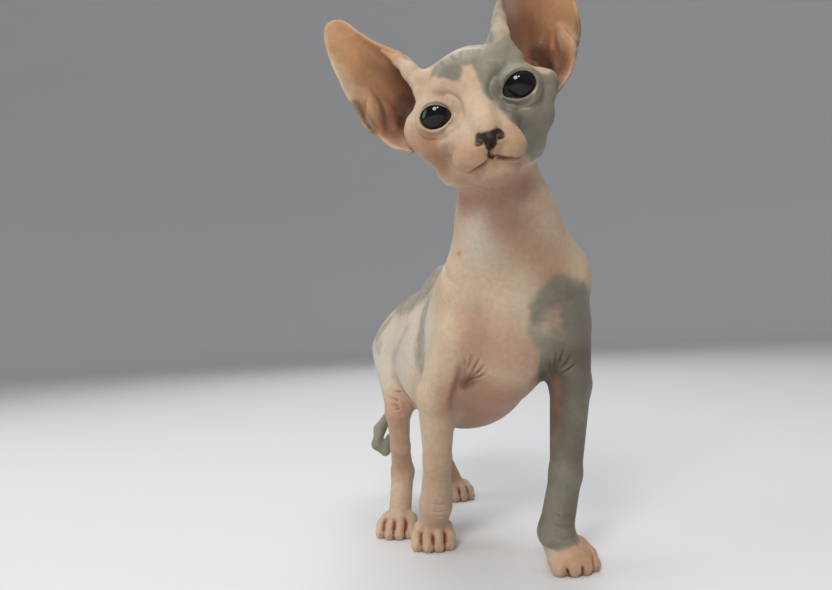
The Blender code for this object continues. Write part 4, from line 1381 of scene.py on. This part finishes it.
@dataclass(frozen=True)
class Markings:
    """The kitten's stains, painted shade and painted highlights, laid one over the other in this
    order.
    """

    patches: tuple[Patch, ...] = field(
        default_factory=lambda: (*head_patches(), *body_patches(), *toe_patches()))
    lid_line: LidFold = LidFold(0, 360, 0.1, 0.55, 0.75)       # the dark edge of the lids
    waver: float = 1.8              # how far the borders of the soft stains sway, mm
    waver_size: float = 9.0
    seed: int = 7

    def paint(self, mesh: bpy.types.Mesh, head: Head) -> None:
        """Write one value for each mark on every point of the skin.

        Args:
            mesh: the skin, in the skeleton's millimetres.
            head: the head, whose frame and eyes place the stains.
        """
        still = points_of(mesh)
        noise.seed_set(self.seed)
        sway = np.array([noise.noise_vector(Vector(point) / self.waver_size) for point in still])
        p = still + sway * self.waver
        q, still_q = head.pose.into_head(p), head.pose.into_head(still)
        for mark in Mark:
            value = np.zeros(len(p))
            places = (still, still_q) if mark in (Mark.DARK, Mark.RED) else (p, q)
            for patch in self.patches:
                if patch.mark is mark:
                    value = patch.stain(*places, value)
            # the painted shade of the grooves is laid into the red marks
            if mark is Mark.RED:
                pressed = np.empty(len(p), np.float32)
                mesh.attributes["pressed"].data.foreach_get("value", pressed)
                value = np.maximum(value, pressed)
            if mark is Mark.DARK:
                for eye in head.eyes:
                    value = np.maximum(value, self.lid_line.heights(eye, still_q))
            layer = mesh.attributes.new(mark.value, "FLOAT", "POINT")
            layer.data.foreach_set("value", value.astype(np.float32))


# ---- finishes -------------------------------------------------------------------------
Colour = tuple[float, float, float]


def node(tree: bpy.types.NodeTree, kind: str, inputs: dict | None = None,
         **settings: object) -> bpy.types.Node:
    """Add a node to a tree.

    Args:
        tree: the node tree.
        kind: the node's type.
        inputs: for each input, by name or number, its value or the socket that feeds it.
        settings: the node's own settings.
    Returns:
        The new node.
    """
    made = tree.nodes.new(kind)
    for name, value in settings.items():
        setattr(made, name, value)
    for name, value in (inputs or {}).items():
        socket = made.inputs[name]
        if isinstance(value, bpy.types.NodeSocket):
            tree.links.new(value, socket)
        else:
            socket.default_value = value
    return made


def mixed(tree: bpy.types.NodeTree, share: object, a: object, b: object,
          how: str = "MIX") -> bpy.types.NodeSocket:
    """Add a colour mix and give its result socket."""
    a, b = ((*c, 1.0) if isinstance(c, tuple) and len(c) == 3 else c for c in (a, b))
    return node(tree, "ShaderNodeMix", {0: share, 6: a, 7: b}, data_type="RGBA",
                blend_type=how).outputs[2]


def maths(tree: bpy.types.NodeTree, how: str, a: object, b: object) -> bpy.types.NodeSocket:
    """Add a sum, product or the like and give its result socket."""
    return node(tree, "ShaderNodeMath", {0: a, 1: b}, operation=how).outputs[0]


def ranged(tree: bpy.types.NodeTree, value: object, low: float, high: float,
           to_low: float = 0.0, to_high: float = 1.0) -> bpy.types.NodeSocket:
    """Add a smooth step from low to high and give its result socket."""
    return node(tree, "ShaderNodeMapRange", {0: value, 1: low, 2: high, 3: to_low, 4: to_high},
                interpolation_type="SMOOTHSTEP").outputs[0]


def clouds(tree: bpy.types.NodeTree, at: object, size: object, detail: float,
           roughness: float = 0.5) -> bpy.types.NodeSocket:
    """Add a cloudy noise and give its value's socket."""
    return node(tree, "ShaderNodeTexNoise", {"Vector": at, "Scale": size, "Detail": detail,
                                             "Roughness": roughness}).outputs[0]


def stain_of(tree: bpy.types.NodeTree, mark: Mark) -> bpy.types.NodeSocket:
    """Add a reader of one stain on the skin's points and give its socket."""
    return node(tree, "ShaderNodeAttribute", attribute_name=mark.value).outputs["Fac"]


def group_of(name: str, takes: dict[str, str], gives: dict[str, str]) -> bpy.types.NodeTree:
    """Start a shader node group with named sockets.

    Args:
        name: the group's name.
        takes: the type of each socket that it takes, by name.
        gives: the type of each socket that it gives, by name.
    Returns:
        The group, with its sockets and no nodes.
    """
    tree = bpy.data.node_groups.new(name, "ShaderNodeTree")
    for in_out, sockets in (("INPUT", takes), ("OUTPUT", gives)):
        for socket, kind in sockets.items():
            tree.interface.new_socket(name=socket, in_out=in_out, socket_type="NodeSocket" + kind)
    return tree


def grouped(tree: bpy.types.NodeTree, group: bpy.types.NodeTree,
            inputs: dict[str, object]) -> bpy.types.NodeSocket:
    """Add a use of a group and give its first result's socket.

    Args:
        tree: the node tree.
        group: the group.
        inputs: for each socket of the group, its value or the socket that feeds it.
    Returns:
        The socket.
    """
    use = node(tree, "ShaderNodeGroup", node_tree=group)
    for name, value in inputs.items():
        if isinstance(value, bpy.types.NodeSocket):
            tree.links.new(value, use.inputs[name])
        else:
            use.inputs[name].default_value = value
    return use.outputs[0]


def dressed(name: str, constants: dict[str, object]) -> tuple[bpy.types.Material, bpy.types.Node]:
    """Start a material.

    Args:
        name: the material's name.
        constants: what is the same all over it, by the name of the shader's input.
    Returns:
        The material and its shader.
    """
    mat = bpy.data.materials.new(name)
    mat.use_nodes = True
    shader = mat.node_tree.nodes["Principled BSDF"]
    for socket, value in constants.items():
        shader.inputs[socket].default_value = value
    return mat, shader


def ragged_group() -> bpy.types.NodeTree:
    """Build the group that breaks the border of a stain into small ragged spots.

    Returns:
        The group.
    """
    tree = group_of("ragged edge", {"Stain": "Float", "Vector": "Vector", "Size": "Float",
                                    "Amount": "Float"}, {"Mask": "Float"})
    given = node(tree, "NodeGroupInput").outputs
    broken = clouds(tree, given["Vector"], given["Size"], 5.0, 0.62)
    shift = maths(tree, "MULTIPLY", maths(tree, "SUBTRACT", broken, 0.5), given["Amount"])
    mask = ranged(tree, maths(tree, "ADD", given["Stain"], shift), 0.22, 0.78)
    node(tree, "NodeGroupOutput", {"Mask": mask})
    return tree


def grain_group() -> bpy.types.NodeTree:
    """Build the group that gives bare skin its pores and fine creases.

    Returns:
        The group.
    """
    tree = group_of("skin grain", {"Vector": "Vector", "Pore Size": "Float",
                                   "Crease Size": "Float"}, {"Height": "Float"})
    given = node(tree, "NodeGroupInput").outputs
    pores = node(tree, "ShaderNodeTexVoronoi", {"Vector": given["Vector"],
                                                "Scale": given["Pore Size"]}, feature="F1")
    lines = node(tree, "ShaderNodeTexNoise", {"Vector": given["Vector"],
                                              "Scale": given["Crease Size"], "Detail": 4.0},
                 noise_type="RIDGED_MULTIFRACTAL", normalize=True)
    height = maths(tree, "ADD", maths(tree, "MULTIPLY", pores.outputs[0], 0.5),
                   maths(tree, "MULTIPLY", lines.outputs[0], -0.7))
    node(tree, "NodeGroupOutput", {"Height": height})
    return tree


@dataclass(frozen=True)
class SkinFinish:
    """Bare warm skin with its stains, painted shade and painted highlights; the red, much of it
    painted shade, is laid on as a shade over the others.
    """

    cream: Colour = (0.53, 0.41, 0.29)
    cream_deep: Colour = (0.485, 0.355, 0.245)
    grey: Colour = (0.245, 0.24, 0.19)
    grey_deep: Colour = (0.18, 0.17, 0.13)
    flush: Colour = (0.40, 0.205, 0.13)
    tan: Colour = (0.45, 0.235, 0.105)
    # pigment of the nose, lips and lids, and painted shade in hollows, clefts and armpits
    dark: Colour = (0.016, 0.006, 0.003)
    # paler skin, and painted highlights
    pale: Colour = (0.56, 0.52, 0.43)
    # multiplied over the rest: reddish painted shade in grooves and hollows, partly a real red tint
    red: Colour = (0.42, 0.23, 0.20)
    roughness: float = 0.50
    cloud_size: float = 45.0        # sizes of patterns are in repeats to the metre
    speck_size: float = 420.0
    grey_spots: tuple[float, float] = (190.0, 0.55)     # size, and how far they eat the border
    tan_spots: tuple[float, float] = (150.0, 0.7)
    flush_share: float = 0.75
    grey_share: float = 0.92
    tan_share: float = 0.85
    pore_size: float = 1100.0
    crease_size: float = 330.0
    grain_depth: float = 0.00035
    grain_strength: float = 0.45

    def material(self) -> bpy.types.Material:
        """Build the skin's material, whose stains are read from the skin's points.

        Returns:
            The material.
        """
        mat, shader = dressed("kitten skin", {
            "Subsurface Weight": 0.16, "Subsurface Radius": (1.0, 0.32, 0.16),
            "Subsurface Scale": 0.002, "Specular IOR Level": 0.26, "Sheen Weight": 0.03,
            "Sheen Roughness": 0.5})
        tree = mat.node_tree
        place = node(tree, "ShaderNodeTexCoord").outputs["Object"]
        broad = clouds(tree, place, self.cloud_size, 3.0)
        fine = clouds(tree, place, self.speck_size, 4.0, 0.6)
        ragged = ragged_group()
        grey, tan = (grouped(tree, ragged, {"Stain": stain_of(tree, mark), "Vector": place,
                                            "Size": size, "Amount": amount})
                     for mark, (size, amount) in ((Mark.GREY, self.grey_spots),
                                                  (Mark.TAN, self.tan_spots)))
        flush = stain_of(tree, Mark.FLUSH)
        greyed = mixed(tree, ranged(tree, broad, 0.4, 0.62), self.grey, self.grey_deep)
        base = mixed(tree, ranged(tree, broad, 0.38, 0.66), self.cream, self.cream_deep)
        # the pale, red and dark marks lay painted highlights and painted shade over the stains
        for share, colour, how in (
                (stain_of(tree, Mark.PALE_AND_HIGHLIGHT), self.pale, "MIX"),
                (maths(tree, "MULTIPLY", flush, self.flush_share), self.flush, "MIX"),
                (maths(tree, "MULTIPLY", grey, self.grey_share), greyed, "MIX"),
                (maths(tree, "MULTIPLY", tan, self.tan_share), self.tan, "MIX"),
                (stain_of(tree, Mark.RED), self.red, "MULTIPLY"),
                (stain_of(tree, Mark.DARK), self.dark, "MIX")):
            base = mixed(tree, share, base, colour, how)
        speck = ranged(tree, fine, 0.3, 0.7, 0.93, 1.05)
        shade = node(tree, "ShaderNodeCombineColor", {0: speck, 1: speck, 2: speck}).outputs[0]
        rough = ranged(tree, fine, 0.3, 0.7, self.roughness - 0.06, self.roughness + 0.08)
        height = grouped(tree, grain_group(), {"Vector": place, "Pore Size": self.pore_size,
                                               "Crease Size": self.crease_size})
        bump = node(tree, "ShaderNodeBump", {"Strength": self.grain_strength,
                                             "Distance": self.grain_depth, "Height": height})
        tree.links.new(mixed(tree, 1.0, base, shade, "MULTIPLY"), shader.inputs["Base Color"])
        tree.links.new(rough, shader.inputs["Roughness"])
        tree.links.new(bump.outputs[0], shader.inputs["Normal"])
        return mat


@dataclass(frozen=True)
class EyeFinish:
    """A wet eye: wide pupil, dull grey-green iris, dark rim, pale white."""

    pupil: Colour = (0.003, 0.0035, 0.004)
    iris: Colour = (0.042, 0.050, 0.042)
    iris_dark: Colour = (0.014, 0.014, 0.011)
    white: Colour = (0.35, 0.25, 0.21)
    pupil_radius: float = 5.1
    iris_radius: float = 7.3

    def material(self) -> bpy.types.Material:
        """Build the eye's material, which reads the place round the gaze from the eye's points.

        Returns:
            The material.
        """
        mat, shader = dressed("kitten eye", {"Roughness": 0.12, "Coat Weight": 1.0,
                                             "Coat Roughness": 0.02, "Coat IOR": 1.36,
                                             "Specular IOR Level": 0.05})
        tree = mat.node_tree
        place = node(tree, "ShaderNodeAttribute", attribute_name="gaze_place")
        parts = node(tree, "ShaderNodeSeparateXYZ", {0: place.outputs["Vector"]})
        flat = node(tree, "ShaderNodeCombineXYZ", {0: parts.outputs[0], 1: parts.outputs[1]})
        way = node(tree, "ShaderNodeVectorMath", {0: flat.outputs[0]}, operation="NORMALIZE")
        away = node(tree, "ShaderNodeVectorMath", {0: flat.outputs[0]}, operation="LENGTH")
        fibres = clouds(tree, way.outputs[0], 9.0, 5.0, 0.7)
        iris = mixed(tree, ranged(tree, fibres, 0.35, 0.65), self.iris, self.iris_dark)
        inner, outer, colour = self.pupil_radius, self.iris_radius, self.pupil
        for start, end, beyond in ((inner - 0.15, inner + 0.35, iris),
                                   (outer - 0.5, outer - 0.1, self.pupil),
                                   (outer + 0.1, outer + 0.5, self.white)):
            colour = mixed(tree, ranged(tree, away.outputs[1], start, end), colour, beyond)
        tree.links.new(colour, shader.inputs["Base Color"])
        return mat


@dataclass(frozen=True)
class ClawFinish:
    """Horn, streaked with the rosier colour of the quick."""

    horn: Colour = (0.50, 0.36, 0.26)
    quick: Colour = (0.36, 0.20, 0.14)

    def material(self) -> bpy.types.Material:
        """Build the claws' material.

        Returns:
            The material.
        """
        mat, shader = dressed("kitten claw", {"Roughness": 0.35})
        tree = mat.node_tree
        place = node(tree, "ShaderNodeTexCoord").outputs["Object"]
        streak = ranged(tree, clouds(tree, place, 900.0, 3.0), 0.35, 0.65)
        tree.links.new(mixed(tree, streak, self.horn, self.quick), shader.inputs["Base Color"])
        return mat


@dataclass(frozen=True)
class FloorFinish:
    """A plain pale studio floor."""

    colour: Colour = (0.70, 0.70, 0.70)

    def material(self) -> bpy.types.Material:
        """Build the floor's material."""
        return dressed("pale floor", {"Base Color": (*self.colour, 1.0), "Roughness": 0.85,
                                      "Specular IOR Level": 0.2})[0]


# ---- the pieces -----------------------------------------------------------------------
@dataclass
class Skin:
    """The one skin that covers every solid of flesh."""

    flesh: Flesh
    folds: Folds = Folds()
    markings: Markings = Markings()
    finish: SkinFinish = SkinFinish()
    voxel: float = 0.62
    quick_voxel: float = 1.0
    triangles: int = 196_000
    floor_sink: float = 0.8         # how much of the pads is pressed away
    face_low: Point = (-27.0, -22.0, -35.0)
    face_high: Point = (27.0, 10.0, 12.0)
    free: tuple[float, float] = (0.3, 1.0)      # from there on out the skin is ear, not flesh

    def rough(self) -> bpy.types.Object:
        """Make one closed mesh round all the shapes and ears.

        Returns:
            The rough skin, in millimetres.
        """
        bm = bmesh.new()
        self.flesh.add_to(bm)
        obj = object_from("skin", bm)
        remesh = obj.modifiers.new("cover", "REMESH")
        remesh.mode = "VOXEL"
        remesh.voxel_size = self.voxel
        return applied(obj)

    def in_face(self, p: Array) -> Array:
        """Tell which body points lie in the face, where the mesh is finer."""
        q = self.flesh.head.pose.into_head(p)
        return ((q > np.array(self.face_low)) & (q < np.array(self.face_high))).all(1)

    def refine_face(self, obj: bpy.types.Object) -> None:
        """Halve the mesh's edges in the face.

        Args:
            obj: the skin.
        """
        inside = self.in_face(points_of(obj.data))
        bm = bmesh.new()
        bm.from_mesh(obj.data)
        faces = [f for f in bm.faces if all(inside[v.index] for v in f.verts)]
        edges = list({e for f in faces for e in f.edges})
        bmesh.ops.subdivide_edges(bm, edges=edges, cuts=1, use_grid_fill=True)
        bm.to_mesh(obj.data)
        bm.free()

    def part_lids(self, obj: bpy.types.Object) -> None:
        """Cut the openings of the lids, down to just under the eyeballs' surface.

        Args:
            obj: the skin.
        """
        gaps = [eye.gap(self.flesh.head.pose.matrix()) for eye in self.flesh.head.eyes]
        for gap in gaps:
            cut = obj.modifiers.new(gap.name, "BOOLEAN")
            cut.operation, cut.solver, cut.object = "DIFFERENCE", "EXACT", gap
        applied(obj)
        for gap in gaps:
            bpy.data.objects.remove(gap, do_unlink=True)

    def following(self, p: Array) -> Array:
        """Tell how much each point follows the rule of the flesh, 0 on the ears and 1 elsewhere."""
        return 1.0 - eased(self.flesh.distance(p), *self.free)

    def flatten_soles(self, mesh: bpy.types.Mesh) -> None:
        """Press the pads flat on the floor.

        Args:
            mesh: the skin, in the skeleton's millimetres.
        """
        p = points_of(mesh)
        p[:, 2] = np.maximum(p[:, 2], self.floor_sink) - self.floor_sink
        move_points(mesh, p)

    def thin_out(self, obj: bpy.types.Object) -> None:
        """Leave no more triangles than the set number.

        Args:
            obj: the skin.
        """
        faces = sum(len(face.vertices) - 2 for face in obj.data.polygons)
        if faces > self.triangles:
            fewer = obj.modifiers.new("fewer", "DECIMATE")
            fewer.ratio = self.triangles / faces
            applied(obj)

    def build(self) -> bpy.types.Object:
        """Build, paint and dress the skin.

        Returns:
            The skin's object, in the frame.
        """
        obj, flesh = self.rough(), self.flesh
        mesh = obj.data
        follow = self.following(points_of(mesh))
        settle(mesh, flesh.distance, follow, steps=4, reach=2.0)
        relax(mesh, np.ones(len(follow)), steps=2)
        settle(mesh, flesh.distance, follow, steps=2, reach=0.6)
        relax(mesh, 1.0 - follow, steps=6)
        log.info("skin settled: %d points", len(mesh.vertices))
        self.refine_face(obj)
        p = points_of(mesh)
        settle(mesh, flesh.distance, self.in_face(p) * self.following(p), steps=2, reach=0.4)
        self.folds.press(mesh, flesh)
        self.part_lids(obj)
        self.flatten_soles(obj.data)
        self.thin_out(obj)
        mesh = obj.data
        self.markings.paint(mesh, flesh.head)
        mesh.transform(into_frame())
        mesh.shade_smooth()
        mesh.materials.clear()
        mesh.materials.append(self.finish.material())
        return obj


@dataclass
class Eyeball:
    """One eye, with its cornea bulging along the gaze."""

    size: EyeSize
    pose: HeadPose
    material: bpy.types.Material
    bulge: float = 0.55
    bulge_within: float = 6.6
    clear: float = 0.02             # between the eyeball and its lids
    rings: tuple[int, int] = (64, 48)

    def build(self) -> bpy.types.Object:
        """Build the eyeball and store each point's place round the gaze.

        Returns:
            The eyeball's object, in the frame.
        """
        bm = bmesh.new()
        around, down = self.rings
        bmesh.ops.create_uvsphere(bm, u_segments=around, v_segments=down,
                                  radius=self.size.radius - self.clear)
        for v in bm.verts:
            away = (v.co.x ** 2 + v.co.y ** 2) ** 0.5
            if v.co.z > 0 and away < self.bulge_within:
                rise = (1 - (away / self.bulge_within) ** 2) ** 1.5
                v.co += v.co.normalized() * self.bulge * rise
        name = "eyeball_left" if self.size.side > 0 else "eyeball_right"
        obj = object_from(name, bm)
        mesh = obj.data
        local = points_of(mesh)
        layer = mesh.attributes.new("gaze_place", "FLOAT_VECTOR", "POINT")
        layer.data.foreach_set("vector", local.astype(np.float32).ravel())
        move_points(mesh, self.pose.into_body(local @ self.size.axes() + self.size.centre()))
        if self.size.side < 0:
            mesh.flip_normals()
        mesh.transform(into_frame())
        mesh.shade_smooth()
        mesh.materials.append(self.material)
        return obj


@dataclass
class Claws:
    """The claws of one paw."""

    name: str
    paw: Paw
    material: bpy.types.Material
    root_radius: float = 0.85
    tip_radius: float = 0.12
    rings: int = 5
    dip: float = 20.0               # how steeply a claw leaves the toe, degrees
    curl: float = 75.0              # how much steeper it is at its tip
    lean: float = 37.0              # how much steeper its chord is there
    flat: float = 0.7               # its width, as a share of its height

    def place(self, x: float, y: float, t: float, tip: Array, ahead: Array, r: float) -> Vector:
        """Give a point of a claw that grows out over a toe's tip and curves down.

        Args:
            x: how far the point lies to the side of the claw's middle line.
            y: how far it lies above that line.
            t: how far along the claw it lies, 0 at the root and 1 at the tip.
            tip: the middle of the toe's last joint.
            ahead: the way the toe points.
            r: the toe's radius.
        Returns:
            The point, in the skeleton's millimetres.
        """
        down = np.array((0.0, 0.0, -1.0))
        side = np.cross(ahead, down)
        bend, mean = radians(self.dip + self.curl * t), radians(self.dip + self.lean * t)
        lift = np.cross(side, ahead * cos(bend) + down * sin(bend))
        spine = (ahead * cos(mean) + down * sin(mean)) * self.paw.claw * t
        root = tip + ahead * r * 0.35 - down * r * 0.45
        return Vector(root + spine + side * x * self.flat + lift * y)

    def build(self) -> bpy.types.Object:
        """Build the paw's four claws as one piece.

        Returns:
            The claws' object, in the frame.
        """
        whole = bmesh.new()
        _, ahead, _ = self.paw.frame()
        for _, _, tip, r in self.paw.toes():
            claw = bmesh.new()
            bmesh.ops.create_cone(claw, cap_ends=True, segments=8, radius1=self.root_radius,
                                  radius2=self.tip_radius, depth=self.paw.claw)
            nearly = self.paw.claw * 0.9
            long = [e for e in claw.edges if abs(e.verts[0].co.z - e.verts[1].co.z) > nearly]
            bmesh.ops.subdivide_edges(claw, edges=long, cuts=self.rings)
            for v in claw.verts:
                v.co = self.place(v.co.x, v.co.y, v.co.z / self.paw.claw + 0.5, tip, ahead, r)
            bmesh.ops.recalc_face_normals(claw, faces=claw.faces)
            part = bpy.data.meshes.new("claw")
            claw.to_mesh(part)
            claw.free()
            whole.from_mesh(part)
            bpy.data.meshes.remove(part)
        bmesh.ops.transform(whole, matrix=into_frame(), verts=whole.verts)
        obj = object_from(self.name, whole)
        obj.data.shade_smooth()
        obj.data.materials.append(self.material)
        return obj


@dataclass(frozen=True)
class Lamp:
    """A round lamp that is turned to the kitten."""

    name: str
    at: Point
    size: float
    power: float
    colour: Colour
    aim: Point = (0.0, -0.02, 0.14)

    def hang(self) -> None:
        """Put the lamp in the scene."""
        lamp = bpy.data.lights.new(self.name, "AREA")
        lamp.shape, lamp.size, lamp.energy, lamp.color = "DISK", self.size, self.power, self.colour
        obj = bpy.data.objects.new(self.name, lamp)
        obj.location = self.at
        way = Vector(self.aim) - Vector(self.at)
        obj.rotation_euler = way.to_track_quat("-Z", "Y").to_euler()
        bpy.context.scene.collection.objects.link(obj)


@dataclass(frozen=True)
class Studio:
    """Floor, lights and camera."""

    lamps: tuple[Lamp, ...] = (
        Lamp("key", (-0.80, -0.95, 0.92), 0.50, 11.0, (1.0, 0.97, 0.93)),
        Lamp("key_small", (-0.42, -1.10, 1.02), 0.16, 2.5, (1.0, 0.98, 0.95)),
        Lamp("top", (0.1, 0.0, 1.6), 1.4, 9.0, (1.0, 0.98, 0.96)),
        Lamp("side", (-1.1, 0.5, 0.6), 0.9, 4.5, (0.86, 0.93, 1.0)),
        Lamp("back", (0.5, 1.3, 1.2), 1.0, 6.0, (0.96, 0.98, 1.0)),
    )
    air: Colour = (0.92, 0.94, 1.0)
    air_strength: float = 0.48
    eye_at: Point = (-142.0, -337.0, 115.0)
    ahead: Point = (0.34147674, 0.9385618, 0.05538)
    right: Point = (0.93977162, -0.33897068, -0.04990353)
    focal_share: float = 650.0 / 832.0
    sensor: float = 36.0
    flat_radius: float = 3.0
    bend: float = 0.9
    bend_steps: int = 8
    wall: float = 5.0
    finish: FloorFinish = FloorFinish()

    def floor(self) -> bpy.types.Object:
        """Build a round floor that sweeps up at its rim.

        Returns:
            The floor's object.
        """
        bm = bmesh.new()
        outline = [(0.0, 0.0), (self.flat_radius, 0.0)]
        for step in range(1, self.bend_steps + 1):
            a = radians(90.0 * step / self.bend_steps)
            outline.append((self.flat_radius + self.bend * sin(a), self.bend * (1 - cos(a))))
        outline.append((self.flat_radius + self.bend, self.wall))
        profile = [bm.verts.new((x, 0.0, z)) for x, z in outline]
        edges = [bm.edges.new(pair) for pair in zip(profile, profile[1:])]
        bmesh.ops.spin(bm, geom=profile + edges, cent=(0, 0, 0), axis=(0, 0, 1),
                       angle=TURN, steps=64, use_merge=True)
        bmesh.ops.remove_doubles(bm, verts=bm.verts, dist=1e-5)
        bmesh.ops.recalc_face_normals(bm, faces=bm.faces)
        obj = object_from("floor", bm)
        obj.data.shade_smooth()
        obj.data.materials.append(self.finish.material())
        return obj

    def camera(self) -> None:
        """Place the camera."""
        ahead, right = Vector(self.ahead).normalized(), Vector(self.right).normalized()
        turn = Matrix((right, right.cross(ahead), -ahead)).transposed().to_4x4()
        lens = bpy.data.cameras.new("camera")
        lens.sensor_width, lens.lens = self.sensor, self.sensor * self.focal_share
        lens.clip_start = 0.01
        obj = bpy.data.objects.new("camera", lens)
        at = (Vector(self.eye_at) - Vector(MIDDLE)) * MM
        obj.matrix_world = Matrix.Translation(at) @ turn
        bpy.context.scene.collection.objects.link(obj)
        bpy.context.scene.camera = obj

    def build(self) -> None:
        """Lay the floor, hang the lamps, place the camera."""
        self.floor()
        for lamp in self.lamps:
            lamp.hang()
        world = bpy.data.worlds.new("air")
        world.use_nodes = True
        sky = world.node_tree.nodes["Background"]
        sky.inputs["Color"].default_value = (*self.air, 1.0)
        sky.inputs["Strength"].default_value = self.air_strength
        scene = bpy.context.scene
        scene.world = world
        scene.view_settings.view_transform = "Standard"
        self.camera()


def main() -> None:
    """Build every piece and place it on the frame."""
    logging.basicConfig(level=logging.INFO, format="%(name)s: %(message)s")
    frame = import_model()
    Studio().build()
    flesh = Flesh()
    skin = Skin(flesh).build()
    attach(skin, "root")
    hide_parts(*[name for name in frame["nodes"] if not name.startswith("eye")])
    log.info("skin: %d triangles", sum(len(f.vertices) - 2 for f in skin.data.polygons))
    wet = EyeFinish().material()
    for size in flesh.head.eyes:
        ball = Eyeball(size, flesh.head.pose, wet).build()
        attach(ball, "root")
        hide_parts(ball.name.replace("eyeball", "eye"))
        log.info("%s built", ball.name)
    horn = ClawFinish().material()
    for name, leg in flesh.legs.items():
        claws = Claws(f"claws_{name}", leg.paw, horn).build()
        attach(claws, "root")
        log.info("%s built", claws.name)


if __name__ == "__main__":
    main()
